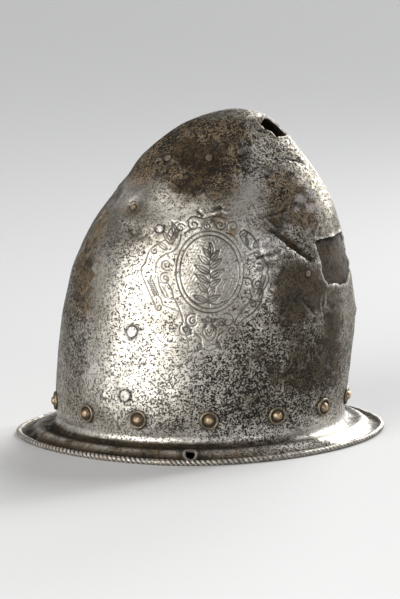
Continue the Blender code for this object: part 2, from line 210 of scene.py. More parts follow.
# Rivets of the lining, by turn, and their sizes
LINING_TURNS = (-172.6, -140.0, -114.8, -87.1, -59.8, -34.9, -8.0, 19.0, 46.0, 73.5, 101.0, 129.0, 158.0)
RIVET_ROW_UP = 0.0634
WASHER_RADIUS = 0.0076
LINING_HEAD = 0.0041

# Other rivets: node, slot, turn, up, radius, height, flat share, shank, on the plate, stain
ODD_RIVETS = (
    ("side_rivet_upper", "steel_rivet", -120.7, 0.338, 0.0049, 0.0012, 0.78, 0.0015, False, 0.12),
    ("side_rivet_lower", "steel_rivet", -121.1, 0.136, 0.0050, 0.0012, 0.76, 0.0015, False, 0.15),
    ("repair_rivet_01", "steel_rivet", -117.3, 0.652, 0.0036, 0.0013, 0.66, 0.0012, False, 0.15),
    ("repair_rivet_02", "brass_rivet", -141.3, 0.712, 0.0029, 0.0016, 0.50, 0.0011, False, 0.6),
    ("repair_rivet_03", "steel_rivet", -133.5, 0.858, 0.0032, 0.0013, 0.60, 0.0011, False, 0.8),
    ("repair_rivet_04", "steel_rivet", -100.3, 0.862, 0.0031, 0.0012, 0.62, 0.0011, False, 1.1),
    ("repair_rivet_05", "steel_rivet", -76.6, 0.877, 0.0031, 0.0012, 0.62, 0.0011, False, 1.0),
    ("patch_rivet_near", "steel_rivet", -46.9, 0.498, 0.0024, 0.0009, 0.60, 0.0009, True, 0.7),
    ("patch_rivet_far", "steel_rivet", 14.5, 0.510, 0.0024, 0.0009, 0.60, 0.0009, True, 0.6),
)

# Patches of the surface: kind, side, along and up in millimetres, width, height, lean, strength
PATCHES = (
    ("stain", -1, 2, 227, 96, 62, -10, 1.0),
    ("stain", -1, -14, 236, 46, 24, 0, 0.9),
    ("stain", -1, 17, 246, 60, 26, 0, 0.8),
    ("stain", -1, -42, 220, 60, 18, 50, 0.8),
    ("stain", -1, -81, 167, 57, 20, 65, 0.8),
    ("stain", -1, -92, 125, 60, 18, 84, 0.9),
    ("stain", -1, -77, 146, 28, 18, 0, 0.5),
    ("stain", -1, 72, 206, 40, 24, -40, 0.8),
    ("stain", -1, 78, 186, 52, 28, -30, 0.9),
    ("stain", -1, 29, 174, 9, 9, 0, 0.7),
    ("stain", -1, 20, 186, 24, 14, 0, 0.55),
    ("stain", -1, -52, 187, 22, 14, 0, 0.6),
    ("stain", -1, 98, 150, 14, 60, 0, 0.5),
    ("stain", 1, -40, 190, 60, 34, 20, 0.8),
    ("stain", 1, 60, 120, 70, 44, -20, 0.8),
    ("stain", 1, -60, 70, 50, 60, 0, 0.6),
    ("stain", 1, 40, 220, 60, 30, 0, 0.8),
    ("stain", 1, 10, 40, 80, 18, 0, 0.5),
    ("umber", -1, 79, 127, 42, 50, 8, 1.3),
    ("umber", -1, 66, 178, 44, 16, -22, 0.7),
    ("umber", -1, 84, 196, 22, 40, 20, 0.6),
    ("umber", -1, 2, 230, 44, 26, -20, 1.0),
    ("umber", -1, -4, 209, 34, 16, 10, 0.8),
    ("umber", -1, 22, 236, 26, 18, 30, 0.6),
    ("umber", -1, 33, 216, 14, 12, 0, 0.4),
    ("umber", -1, 76, 66, 56, 46, 0, 0.55),
    ("umber", -1, 96, 60, 44, 60, 0, 0.5),
    ("umber", -1, 107, 96, 22, 110, 0, 0.7),
    ("umber", -1, 36, 76, 40, 22, 30, 0.4),
    ("umber", -1, -88, 150, 20, 44, 20, 0.5),
    ("umber", -1, -92, 95, 20, 110, 0, 0.35),
    ("umber", 1, 20, 150, 60, 40, 20, 0.6),
    ("umber", 1, -50, 110, 40, 50, 0, 0.5),
    ("pale", -1, 91, 187.0, 8.0, 7.0, 0, 1.0),
    ("pale", -1, 98, 181, 5, 11, 0, 0.9),
    ("pale", -1, 83.5, 195, 11, 7, -30, 1.0),
    ("pale", -1, 93, 198, 6, 10, 20, 0.9),
    ("pale", -1, 80, 187, 6, 5, 0, 0.9),
    ("pale", -1, 74, 175, 7, 6, -30, 0.9),
    ("pale", -1, 57, 164, 12, 8, -35, 0.8),
    ("pale", -1, 36, 190, 40, 34, 0, 0.5),
    ("pale", -1, -30, 205, 44, 30, 30, 0.35),
    ("pale", -1, 46, 216, 26, 44, -8, 0.45),
    ("pale", -1, -62, 201, 40, 32, 50, 0.65),
    ("pitting", -1, 68, 74, 105, 70, 0, 0.55),
    ("pitting", -1, 20, 62, 56, 60, 0, 0.35),
    ("pitting", -1, 34, 34, 130, 46, 0, 0.45),
    ("pitting", -1, -40, 40, 70, 40, 0, 0.12),
    ("pitting", -1, 84, 158, 40, 60, 0, 0.3),
    ("pitting", -1, 108, 100, 24, 100, 0, -0.35),
    ("pitting", -1, -78, 66, 50, 90, 0, 0.15),
    ("pitting", -1, -98, 93, 20, 110, 0, 0.35),
    ("pitting", -1, -64, 159, 36, 30, 0, 0.3),
    ("pitting", -1, 45, 128, 48, 50, 0, 0.3),
    ("pitting", -1, 10, 234, 120, 60, 0, 0.6),
    ("pitting", -1, 66, 208, 40, 50, 0, 0.35),
    ("pitting", -1, 10, 145, 60, 60, 0, 0.15),
    ("pitting", -1, -24, 198, 46, 30, 0, -0.25),
    ("pitting", -1, 43, 205, 30, 30, 0, -0.25),
    ("pitting", 1, 0, 90, 140, 70, 0, 0.4),
    ("pitting", 1, -70, 140, 60, 70, 0, 0.3),
    # Bright patches: bare metal, and in part a painted sheen where the lamps leave the wall darker
    ("bright", -1, -34, 62, 112, 84, 0, 0.85),
    ("bright", -1, -47, 127, 50, 54, 0, 0.7),
    ("bright", -1, 2, 143, 56, 60, 0, 0.6),
    ("bright", -1, -16, 187, 48, 32, 0, 0.6),
    ("bright", -1, -60, 196, 34, 28, 50, 0.6),
    ("bright", -1, -70, 148, 50, 70, 75, 0.75),
    ("bright", -1, -70, 70, 60, 90, 0, 0.6),
    ("bright", -1, 48, 219, 28, 40, 0, 0.6),
    ("bright", -1, -6, 90, 52, 36, 0, 0.7),
    ("bright", -1, 42, 150, 46, 62, 0, 0.9),
    ("bright", -1, 58, 163, 18, 14, -30, 1.0),
    ("bright", 1, -20, 130, 80, 70, 0, 0.6),
    ("bright", 1, 60, 60, 70, 60, 0, 0.5),
)


def smooth_table(table, at):
    """Read a table at fractional rows along a smooth curve; the table has a spare row at either end."""
    low = np.clip(np.floor(at).astype(int), 0, len(table) - 4)
    share = (at - low)[..., None]
    a, b, c, d = (table[low + step] for step in range(4))
    return b + 0.5 * share * (c - a + share * (2 * a - 5 * b + 4 * c - d + share * (3 * (b - c) + d - a)))


BELOW_FOOT = 2 * SECTIONS[0] - SECTIONS[1]
ABOVE_CROWN = SECTIONS[-2][[0, 2, 1, 3, 4]] * (1, 1, 1, -1, 0) + (0, 0, 0, 0, 1)
SECTION_CURVE = np.vstack((BELOW_FOOT, SECTIONS, ABOVE_CROWN))
CLIMBS = np.linspace(0, CROWN, 2601)
CLIMB_UPS = smooth_table(SECTION_CURVE, CLIMBS)[:, 0]


def climb_at(up):
    """The climb whose section lies at a share of the wall's height."""
    return np.interp(up, CLIMB_UPS, CLIMBS)


def signed_power(value, power):
    """A power that keeps the sign."""
    return np.sign(value) * np.abs(value) ** power


def wall_form(turn, climb):
    """The undented outer face of the wall."""
    up, front, back, half_width, keel = np.moveaxis(smooth_table(SECTION_CURVE, climb), -1, 0)
    x = ((front + back) / 2 + (back - front) / 2 * np.cos(turn)) * SKULL_LENGTH / 2
    y = half_width * signed_power(np.sin(turn), keel) * SKULL_WIDTH / 2
    return np.stack((x, y, BRIM_RISE + up * (SKULL_HEIGHT - BRIM_RISE)), -1)


def edge_outline(turn):
    """The outermost line of the brim."""
    power = 2 / np.where(np.cos(turn) > 0, EDGE_POWER_BACK, EDGE_POWER_FRONT)
    x = signed_power(np.cos(turn), power) * BRIM_LENGTH / 2
    y = signed_power(np.sin(turn), power) * BRIM_WIDTH / 2
    return np.stack((x, y, np.zeros_like(x)), -1)


def brim_form(turn, share):
    """The upper face of the brim; share runs from the foot of the wall to the middle of the roll."""
    foot = wall_form(turn, np.zeros_like(turn))
    foot[..., 2] = 0
    reach = edge_outline(turn) - foot
    length = np.linalg.norm(reach, axis=-1)
    out = share * (length - EDGE_RADIUS) / length
    point = foot + reach * out[..., None]
    spots = np.interp(share, BRIM_PROFILE[:, 0], np.arange(len(BRIM_PROFILE)))
    point[..., 2] = smooth_table(BRIM_CURVE, spots)[..., 1] * BRIM_RISE
    return point


def undented(turn, run):
    """The outer face: run is the climb on the wall, and under 0 the way out over the brim."""
    wall = wall_form(turn, np.clip(run, 0, CROWN))
    brim = brim_form(turn, np.clip(-run, 0, 1))
    return np.where((run < 0)[..., None], brim, wall)


# How far to either side a normal looks
NORMAL_STEP = 0.03


def facing(shape, turn, run):
    """The outward normal of a shape of turn and run."""
    along = shape(turn + NORMAL_STEP, run) - shape(turn - NORMAL_STEP, run)
    over, under = np.minimum(run + NORMAL_STEP, CROWN), np.maximum(run - NORMAL_STEP, -1.0)
    rise = shape(turn, over) - shape(turn, under)
    normal = np.cross(along, rise)
    length = np.linalg.norm(normal, axis=-1, keepdims=True)
    normal = normal / np.maximum(length, 1e-12)
    crown = (run > CROWN - 2 * NORMAL_STEP)[..., None]
    return np.where(crown, np.array((0.0, 0.0, 1.0)), normal)


def dent_frame(turn, up):
    """The middle, normal, level way and upward way of a place on the wall."""
    turn = np.array([math.radians(turn)])
    climb = climb_at(np.array([up]))
    middle = wall_form(turn, climb)[0]
    normal = facing(undented, turn, climb)[0]
    level = np.cross((0, 0, 1), normal)
    level /= np.linalg.norm(level)
    return middle, normal, level, np.cross(normal, level)


DENT_FRAMES = [dent_frame(*row[:2]) + row[2:] for row in DENTS]


def ramp(value, start, width):
    """0 up to a start, and 1 from a width past it."""
    return np.clip((value - start) / width, 0, 1)


def up_to(value, middle, width):
    """1 under a middle and 0 over it, with a soft edge."""
    return np.clip(0.5 - (value - middle) / width, 0, 1)


def swell(value, middle, reach, power=2):
    """1 at a middle, and less away from it."""
    return np.exp(-np.abs((value - middle) / reach) ** power)


def dented(turn, run):
    """The outer face with its dents."""
    point = undented(turn, run)
    moved = point.copy()
    wall = ramp(run, 0, 0.5)
    for middle, normal, level, upward, length, width, lean, depth in DENT_FRAMES:
        angle = math.radians(lean)
        offset = point - middle
        along = offset @ (level * math.cos(angle) + upward * math.sin(angle)) / (length * SKULL_LENGTH / 2)
        across = offset @ (upward * math.cos(angle) - level * math.sin(angle)) / (width * SKULL_LENGTH / 2)
        under = offset @ normal / (length * SKULL_LENGTH)
        sink = depth * SKULL_LENGTH * np.exp(-(along ** 2 + across ** 2 + under ** 2)) * wall
        moved -= sink[..., None] * normal
    return moved


def waves(points, low, high, count, seed):
    """A smooth random field between about -1 and 1, with waves between two lengths."""
    source = np.random.default_rng(seed)
    ways = source.normal(size=(count, 3))
    ways *= (math.tau / source.uniform(low, high, count) / np.linalg.norm(ways, axis=1))[:, None]
    starts = source.uniform(0, math.tau, count)
    return np.cos(points @ ways.T + starts).sum(-1) / math.sqrt(count)


def on_side(x, z):
    """The turn and the climb of a place on the near side, seen from the side, in millimetres."""
    up = (z * MM - BRIM_RISE) / (SKULL_HEIGHT - BRIM_RISE)
    climb = float(climb_at(up))
    _, front, back, _, _ = smooth_table(SECTION_CURVE, np.array([climb]))[0]
    share = (x * MM * 2 / SKULL_LENGTH - (front + back) / 2) / ((back - front) / 2)
    return -math.acos(max(-1.0, min(1.0, share))), climb


def side_place(x, z):
    """A place on the dented wall of the near side, given in the same way."""
    return dented(*(np.array([part]) for part in on_side(x, z)))[0]


# How many places are measured at a time, to spare memory
AT_A_TIME = 3000


def nearest(points, starts, ends):
    """How far every point lies from the nearest of many short lines, and which line that is."""
    gaps = np.full(len(points), 1.0)
    which = np.zeros(len(points), int)
    span = ends - starts
    size = np.maximum((span ** 2).sum(1), 1e-14)
    for low in range(0, len(points), AT_A_TIME):
        some = slice(low, low + AT_A_TIME)
        part = points[some, None, :] - starts
        share = np.clip((part * span).sum(2) / size, 0, 1)
        gap = np.sqrt(((part - share[..., None] * span) ** 2).sum(2))
        which[some] = gap.argmin(1)
        gaps[some] = gap.min(1)
    return gaps, which


# The flat pattern of the sheet: how long one radian of turn and one step of run are drawn
FLAT_TURN = 0.09
FLAT_RUN = 0.02

# The grid of the pattern
COLUMNS = 248
BRIM_ROWS = 13
WALL_ROWS = 92


def flat(turn, run):
    """A place in the flat pattern."""
    return np.stack((np.asarray(turn) * FLAT_TURN, np.asarray(run) * FLAT_RUN), -1)


def unflat(points):
    """Turn and run of places in the flat pattern."""
    return points[:, 0] / FLAT_TURN, points[:, 1] / FLAT_RUN


def ragged(outline, step, depth, seed):
    """Break an outline in turn and up into short lengths and roughen it, in the flat pattern."""
    source = np.random.default_rng(seed)
    corners = np.array([flat(math.radians(turn), climb_at(up)) for turn, up in outline])
    points = []
    for here, after in zip(corners, np.roll(corners, -1, 0)):
        count = max(1, round(np.linalg.norm(after - here) / step))
        side = np.array((here[1] - after[1], after[0] - here[0])) / np.linalg.norm(after - here)
        for index in range(count):
            rough = source.uniform(-depth, depth)
            points.append(here + (after - here) * index / count + side * rough)
    return np.array(points)


# Where the brim has its hole: distance from the middle of the helmet, and the brim's width
BRIM_HOLE_OFF = 0.114
BRIM_HOLE_WIDTH = 0.0262
BRIM_HOLE_CORNERS = 28


def brim_hole_outline():
    """The round hole in the brim, in the flat pattern, a little out of true."""
    turn, share, radius = BRIM_HOLE
    middle = flat(math.radians(turn), -share)
    angles = np.arange(BRIM_HOLE_CORNERS) * math.tau / BRIM_HOLE_CORNERS
    wobble = 1 + 0.05 * np.cos(2 * angles + 0.6) + 0.03 * np.cos(5 * angles)
    wide = radius / BRIM_HOLE_OFF * FLAT_TURN
    deep = radius / BRIM_HOLE_WIDTH * FLAT_RUN
    return middle + np.stack((np.cos(angles) * wide * wobble, np.sin(angles) * deep * wobble), -1)


TORN_HOLES = (
    ragged(TEAR_OUTLINE, 0.0016, 0.00045, 4),
    ragged(CROWN_HOLE_OUTLINE, 0.0012, 0.0004, 9),
)
HOLES = (*TORN_HOLES, brim_hole_outline())


def inside(points, outline):
    """Which points lie inside a closed outline."""
    x, y = points[:, 0, None], points[:, 1, None]
    here, after = outline, np.roll(outline, -1, 0)
    crosses = (here[:, 1] > y) != (after[:, 1] > y)
    rise = np.where(after[:, 1] == here[:, 1], 1e-12, after[:, 1] - here[:, 1])
    reach = (after[:, 0] - here[:, 0]) * (y - here[:, 1]) / rise + here[:, 0]
    return (crosses & (x < reach)).sum(1) % 2 == 1


def rim_gap(points, outline):
    """How far places of the pattern lie from the rim of a hole."""
    return nearest(points, outline, np.roll(outline, -1, 0))[0]


def near_hole(middles, reach):
    """Which places of the pattern lie near the rim of a hole."""
    return np.any([rim_gap(middles, outline) < reach for outline in HOLES], axis=0)


# Engraving, in millimetres from the middle of the oval, seen from the side
OVAL_MIDDLE = (10.3, 145.2)
OVALS = ((26.3, 30.8), (23.2, 27.6))

# Spirals: along, up, radius, start angle, sweep, share of the radius left at the end
SPIRALS = (
    (-33.8, 5.6, 4.6, -60, -560, 0.12),
    (-35.0, -4.8, 4.8, 70, 540, 0.12),
    (-43.2, 15.6, 2.8, 100, 480, 0.15),
    (-11.6, 35.6, 4.4, 150, 430, 0.20),
    (-0.8, 34.4, 3.2, 90, 500, 0.18),
    (9.0, 35.0, 4.2, 20, -470, 0.18),
    (19.0, 33.5, 4.8, 200, -420, 0.20),
    (39.0, 1.8, 4.0, 160, -520, 0.12),
    (37.0, -10.6, 4.8, 120, 560, 0.12),
    (-14.4, -36.8, 5.6, 60, 280, 0.70),
    (-13.6, -37.0, 3.2, 60, 420, 0.20),
    (12.6, -36.8, 5.4, 120, -280, 0.70),
    (8.2, -38.6, 3.8, 150, -520, 0.15),
    (-19.2, -44.0, 5.8, 120, 560, 0.14),
    (16.6, -44.6, 4.6, 60, -520, 0.14),
    (-40.6, -27.0, 3.0, 160, 420, 0.25),
    (33.0, -25.5, 3.4, 150, -470, 0.20),
    (-22.0, 33.0, 3.4, 30, 420, 0.25),
    (27.5, 27.5, 3.6, 200, -460, 0.20),
    (36.5, 12.5, 2.8, 90, -430, 0.22),
)

# Leaf shapes: along, up, angle, length, width
LEAVES = (
    (-2, -22, 24, 11, 3.8),
    (-2, -22, 158, 12, 3.8),
    (-1.5, -19, 52, 9, 3.6),
    (-2, -15, 138, 10, 4.0),
    (-1, -11, 30, 11, 4.2),
    (-1, -8, 146, 12, 4.2),
    (0, -4, 28, 13, 4.4),
    (0, -1, 150, 13, 4.4),
    (0, 3, 36, 12, 4.4),
    (0, 6, 142, 11, 4.0),
    (1, 9, 46, 10, 3.8),
    (1, 11, 128, 9, 3.6),
    (1, 13, 88, 9, 4.0),
    (-2, -38, 90, 4.6, 4.0),
    (-3, -38, 150, 5, 2.6),
    (0, -38, 30, 5, 2.6),
    (-3, -40, 215, 4, 2.4),
    (0, -40, -35, 4, 2.4),
    (-8, -54, -112, 7, 3.2),
    (4, -53, -66, 7, 3.2),
    (-25, 26, 108, 12, 4),
    (-29, 21, 128, 12, 4),
    (-33, 17, 146, 10, 3.6),
    (35, 17, 60, 7, 3.0),
    (30, 19, 100, 6, 2.6),
)

# Fine strokes that fill the ground of the oval: step, length and angle; how much of the oval they
# fill; and how far they stay off the lines
GROUND = (2.5, 1.5, 40)
GROUND_SHARE = 0.86
GROUND_GAP = 0.00125

# Flowing lines through points
STROKES = (
    ((-1, -26), (-2, -16), (0, -6), (0, 4), (1, 14), (0, 22)),
    ((-15, -20.5), (-9, -24), (-2, -23), (5, -24.5), (13, -21.5)),
    ((-21.8, 27.8), (-23.4, 21), (-28, 16), (-34.9, 13.2), (-41.4, 7.6), (-42.8, -0.7)),
    ((-50.8, 6.2), (-54.4, 0.7), (-51.5, -8.3), (-47, -18), (-44, -24), (-41.4, -29.6)),
    ((-50.8, 6.2), (-49, 12), (-46, 17), (-40, 21), (-34, 25), (-31, 31), (-26, 37)),
    ((-46, -3), (-47, -8), (-43, -16), (-39, -20), (-37.5, -24)),
    ((-41, -3), (-39.5, -11), (-36, -18)),
    ((-37.5, -11), (-34.5, -15), (-33, -19)),
    ((-33, -8), (-30, -13), (-28.6, -19)),
    ((-37.5, -25), (-31, -27.5), (-24.5, -30)),
    ((-36, -19), (-30, -20.5), (-25, -20)),
    ((-28.6, -19), (-25, -26), (-22.5, -33), (-21.5, -38)),
    ((-6, -42), (-6.2, -47), (-4, -51), (-1.4, -52.5), (1.6, -51), (3.8, -47), (3.6, -42)),
    ((-4.6, -41), (-4.4, -45), (-1.4, -49), (1.8, -45), (2.2, -41)),
    ((-3, -44), (-1.4, -46.5), (0.6, -44)),
    ((-12.4, -46.5), (-9.6, -49), (-7.8, -52), (-9.2, -57)),
    ((9.5, -45.5), (6.4, -48), (4.4, -52), (6, -57)),
    ((-9.2, -57), (-1.5, -60), (6, -57)),
    ((44.9, -2), (46.4, -7), (44.1, -12), (40, -17), (37.5, -21)),
    ((34.5, 6), (38, 8.6), (43, 7), (46, 2), (45, -3)),
    ((23.9, -29), (27.5, -25.7), (34, -23.6), (40, -24)),
    ((31, 12), (36, 13.5), (41, 10), (45, 4)),
    ((30.5, -14), (32, -20), (28.5, -26), (22, -33), (18.5, -39)),
    ((41, -17), (39, -25), (33, -32), (25, -37), (20.5, -41)),
    ((26, -5), (31, -6), (33.5, -12)),
    ((-6, 32.5), (-3, 38), (3, 38.5), (6, 33)),
    ((-17, 38), (-12, 41.5), (-3, 40), (5, 41.5), (14, 39.5)),
    ((13.5, 29), (18, 27.5), (22, 23)),
    ((24, 27), (27, 21), (31, 17), (35, 14)),
    ((27, 31), (33, 27), (37, 21), (39, 15)),
    ((-19, 29), (-13, 32.5), (-7, 33.5)),
)

# Hatched bands: ends of the band, its width, distance between the strokes
HATCHES = (
    ((-47.5, -6), (-42, -18), 3.4, 1.6),
    ((42.5, -4), (38, -18), 3.0, 1.6),
    ((-20, -41), (-17, -47.5), 4.0, 1.4),
    ((-30, 22), (-24, 33), 3.0, 1.5),
)
LINE_WIDTH = 0.00106
LINE_DEPTH = 0.00034
# The strokes of the ground are fainter than the drawn lines
GROUND_FIRMNESS = 0.42
# How far the engraving reaches from its middle, and the gap given to what is past it
ENGRAVING_REACH = 0.068
FAR = 0.02


def flowing(points, pieces=6):
    """A smooth line through points."""
    points = np.array(points, float)
    curve = np.vstack((2 * points[0] - points[1], points, 2 * points[-1] - points[-2]))
    return smooth_table(curve, np.linspace(0, len(points) - 1, (len(points) - 1) * pieces + 1))


def engraved_lines():
    """Every engraved line as points in millimetres from the middle of the oval."""
    lines = []
    around = np.linspace(0, math.tau, 121)
    for wide, tall in OVALS:
        lines.append(np.stack((wide * np.cos(around), tall * np.sin(around)), -1))
    for along, up, radius, start, sweep, left in SPIRALS:
        share = np.linspace(0, 1, 36)
        angle = np.radians(start + sweep * share)
        size = radius * (1 - (1 - left) * share)
        lines.append(np.stack((along + size * np.cos(angle), up + size * np.sin(angle)), -1))
    for along, up, angle, length, width in LEAVES:
        way = np.array((math.cos(math.radians(angle)), math.sin(math.radians(angle))))
        side = np.array((-way[1], way[0]))
        share = np.linspace(0, 1, 11)[:, None]
        bow = np.sin(share ** 0.8 * math.pi) * width / 2
        spine = np.array((along, up)) + way * share * length
        lines.extend((spine + side * bow, spine - side * bow, spine[1:8]))
    for stroke in STROKES:
        lines.append(flowing(stroke))
    for start, end, width, step in HATCHES:
        start, end = np.array(start, float), np.array(end, float)
        length = np.linalg.norm(end - start)
        way = (end - start) / length
        side = np.array((-way[1], way[0]))
        lines.append(np.array((start + side * width / 2, end + side * width / 2)))
        lines.append(np.array((start - side * width / 2, end - side * width / 2)))
        slant = side * width * 0.4 + way * 0.5
        for reach in np.arange(step, length, step):
            middle = start + way * reach
            lines.append(np.array((middle - slant, middle + slant)))
    return lines


def ground_strokes(lines):
    """Short slanting strokes over the ground of the oval, clear of what is drawn on it."""
    step, length, angle = GROUND
    wide, tall = OVALS[1]
    starts, ends = as_segments(lines)
    rows = np.arange(-tall, tall, step)
    places = []
    for number, up in enumerate(rows):
        for along in np.arange(-wide, wide, step) + (number % 2) * step / 2:
            if (along / wide) ** 2 + (up / tall) ** 2 < GROUND_SHARE:
                places.append((along, up + 0.5 * math.sin(along * 1.7 + up)))
    places = np.array(places)
    gaps, _ = nearest(places * MM, starts * MM, ends * MM)
    strokes = []
    for place in places[gaps > GROUND_GAP]:
        lean = math.radians(angle + 50 * math.sin(place[0] * 0.35) * math.cos(place[1] * 0.27))
        way = np.array((math.cos(lean), math.sin(lean))) * length / 2
        strokes.append(np.array((place - way, place + way)))
    return strokes


def as_segments(lines):
    """Cut lines into the starts and ends of their pieces."""
    return np.vstack([line[:-1] for line in lines]), np.vstack([line[1:] for line in lines])


DRAWN = engraved_lines()
ENGRAVED = [(line + OVAL_MIDDLE) * MM for line in DRAWN + ground_strokes(DRAWN)]
ENGRAVED_STARTS, ENGRAVED_ENDS = as_segments(ENGRAVED)
DRAWN_PIECES = sum(len(line) - 1 for line in DRAWN)


def engraving_gap(points):
    """How far places on the wall lie from the engraved lines, seen from the side, and how firm those are."""
    gap = np.full(len(points), FAR)
    firm = np.ones(len(points))
    seen = points[:, [0, 2]]
    off = np.linalg.norm(seen - np.array(OVAL_MIDDLE) * MM, axis=1)
    close = (points[:, 1] < -FAR) & (off < ENGRAVING_REACH)
    if close.any():
        gap[close], which = nearest(seen[close], ENGRAVED_STARTS, ENGRAVED_ENDS)
        firm[close] = np.where(which < DRAWN_PIECES, 1.0, GROUND_FIRMNESS)
    return gap, firm


def crack_lines():
    """Every crack as places on the dented wall."""
    lines = []
    for way, *_ in CRACKS:
        places = np.array([on_side(x, z) for x, z in flowing(way, 4)])
        lines.append(dented(places[:, 0], places[:, 1]))
    return lines


CRACK_LINES = crack_lines()


def crack_gap(points, line):
    """Distance from a crack, and which side of it: above 0 is over it."""
    gap = np.full(len(points), FAR)
    side = np.zeros(len(points))
    middle = line.mean(0)
    reach = np.linalg.norm(line - middle, axis=1).max() + FAR / 2
    close = np.linalg.norm(points - middle, axis=1) < reach
    if close.any():
        gap[close], which = nearest(points[close], line[:-1], line[1:])
        way = (line[1:] - line[:-1])[which]
        offset = points[close] - line[:-1][which]
        normal = np.array((0, -1, 0))
        over = np.cross(way, offset) @ normal
        side[close] = np.sign(over) * np.sign(way[:, 0] + 1e-9)
    return gap, side


# How far round a deep pit the sheet is drawn finer
PIT_MARGIN = 0.0015


def near_crack(middles, reach):
    """Which places of the pattern lie near a crack or a deep pit."""
    points = dented(*unflat(middles))
    close = np.zeros(len(points), bool)
    for line in CRACK_LINES:
        close |= crack_gap(points, line)[0] < reach
    for x, z, radius, _ in DEEP_PITS:
        close |= np.linalg.norm(points - side_place(x, z), axis=1) < radius * MM + PIT_MARGIN
    return close


def near_engraving(middles, reach):
    """Which places of the pattern lie near an engraved line."""
    return engraving_gap(dented(*unflat(middles)))[0] < reach


# Where the sheet is drawn finer: the test, its reach, and the cuts through each edge
FINER_RIMS = (near_hole, 0.0032, 3)
FINER_FACES = (
    (near_crack, 0.0038, 2),
    (near_engraving, 0.0030, 1),
    (near_engraving, 0.0016, 2),
)


def split(form, near, reach, cuts):
    """Divide the faces of the outer skin that lie near something."""
    faces = [face for face in form.faces if all(vertex.co.z > -0.5 for vertex in face.verts)]
    chosen = [face for face, yes in zip(faces, near(middles_of(faces), reach)) if yes]
    edges = {edge for face in chosen for edge in face.edges}
    bmesh.ops.subdivide_edges(form, edges=list(edges), cuts=cuts, use_grid_fill=True)


def middles_of(faces):
    """The middles of faces in the flat pattern."""
    return np.array([face.calc_center_median() for face in faces])[:, :2]


def wall_rows():
    """The climbs of rows that lie evenly up the near side."""
    fine = np.linspace(0, CROWN, 1400)
    way = dented(np.full_like(fine, -math.pi / 2), fine)
    lengths = np.concatenate(((0,), np.cumsum(np.linalg.norm(np.diff(way, axis=0), axis=1))))
    return np.interp(np.linspace(0, lengths[-1], WALL_ROWS + 1), lengths, fine)


def pattern_sheet():
    """The flat pattern of the sheet: the outer skin at 0, the inner one at -1, joined at every rim."""
    form = bmesh.new()
    runs = np.concatenate((np.linspace(-1, 0, BRIM_ROWS + 1)[:-1], wall_rows()))
    turns = np.linspace(-math.pi, math.pi, COLUMNS + 1) - math.pi / 2
    grid = [[form.verts.new((turn * FLAT_TURN, run * FLAT_RUN, 0)) for turn in turns] for run in runs]
    for low, high in zip(grid, grid[1:]):
        for index in range(COLUMNS):
            form.faces.new((low[index], low[index + 1], high[index + 1], high[index]))
    split(form, *FINER_RIMS)
    for outline in HOLES:
        faces = list(form.faces)
        gone = inside(middles_of(faces), outline)
        bmesh.ops.delete(form, geom=[face for face, yes in zip(faces, gone) if yes], context="FACES")
    rims = snap_rims(form)
    open_edges = [edge for edge in form.edges if edge.is_boundary and (edge in rims or on_brim(edge))]
    copy = bmesh.ops.duplicate(form, geom=form.verts[:] + form.edges[:] + form.faces[:])
    copies = copy["vert_map"]
    new_faces = [item for item in copy["geom"] if isinstance(item, bmesh.types.BMFace)]
    bmesh.ops.reverse_faces(form, faces=new_faces)
    for vertex in [item for item in copy["geom"] if isinstance(item, bmesh.types.BMVert)]:
        vertex.co.z = -1
    for edge in open_edges:
        loop = edge.link_loops[0]
        here, after = loop.vert, loop.link_loop_next.vert
        form.faces.new((after, here, copies[here], copies[after]))
    return form


def on_brim(edge):
    """Whether an edge is the outer end of the brim."""
    return all(vertex.co.y < -0.999 * FLAT_RUN for vertex in edge.verts)


# How far from its outline a hole's rim is looked for
RIM_SEARCH = 0.004


def snap_rims(form):
    """Draw the rims of the holes onto their outlines and give their edges."""
    rims = set()
    edges = [edge for edge in form.edges if edge.is_boundary]
    for outline in HOLES:
        low, high = outline.min(0) - RIM_SEARCH, outline.max(0) + RIM_SEARCH
        found = []
        for edge in edges:
            if all(low[0] < v.co.x < high[0] and low[1] < v.co.y < high[1] for v in edge.verts):
                found.append(edge)
        rims.update(found)
        corners = list({vertex for edge in found for vertex in edge.verts})
        points = np.array([vertex.co[:2] for vertex in corners])
        starts, ends = outline, np.roll(outline, -1, 0)
        _, which = nearest(points, starts, ends)
        span = (ends - starts)[which]
        offset = points - starts[which]
        share = np.clip((offset * span).sum(1) / (span ** 2).sum(1), 0, 1)
        for vertex, place in zip(corners, starts[which] + span * share[:, None]):
            vertex.co.x, vertex.co.y = place
    return rims


def places_of(mesh):
    """The places of a mesh's corners."""
    places = np.empty(len(mesh.vertices) * 3)
    mesh.vertices.foreach_get("co", places)
    return places.reshape(-1, 3)


# Unevenness of the hammered wall and of its surface: shortest and longest wave, height
HAMMERING = (0.014, 0.050, 0.00022)
ROUGHNESS = (0.006, 0.014, 0.00004)


def raised(mesh):
    """Raise the flat pattern into the helmet; give what each place is and how it is marked."""
    drawn = places_of(mesh)
    turn, run = unflat(drawn)
    base = dented(turn, run)
    normal = facing(dented, turn, run)
    base += normal * (waves(base, *HAMMERING[:2], 60, 3) * HAMMERING[2] * ramp(run, 0, 0.25))[:, None]
    base += normal * (waves(base, *ROUGHNESS[:2], 60, 5) * ROUGHNESS[2])[:, None]
    skin = SimpleNamespace(run=run, outer=drawn[:, 2] + 1, base=base)
    # The dirt measure also holds painted shade, and the wear measure painted highlights
    for measure in ("groove", "dirt", "wear", "lift"):
        setattr(skin, measure, np.zeros(len(drawn)))
    engrave(skin)
    open_cracks(skin)
    sink_pits(skin)
    shape_rims(skin, drawn[:, :2])
    skin.place = base + normal * (skin.lift - (1 - skin.outer) * WALL)[:, None]
    mesh.vertices.foreach_set("co", skin.place.ravel())
    mesh.update()
    return skin


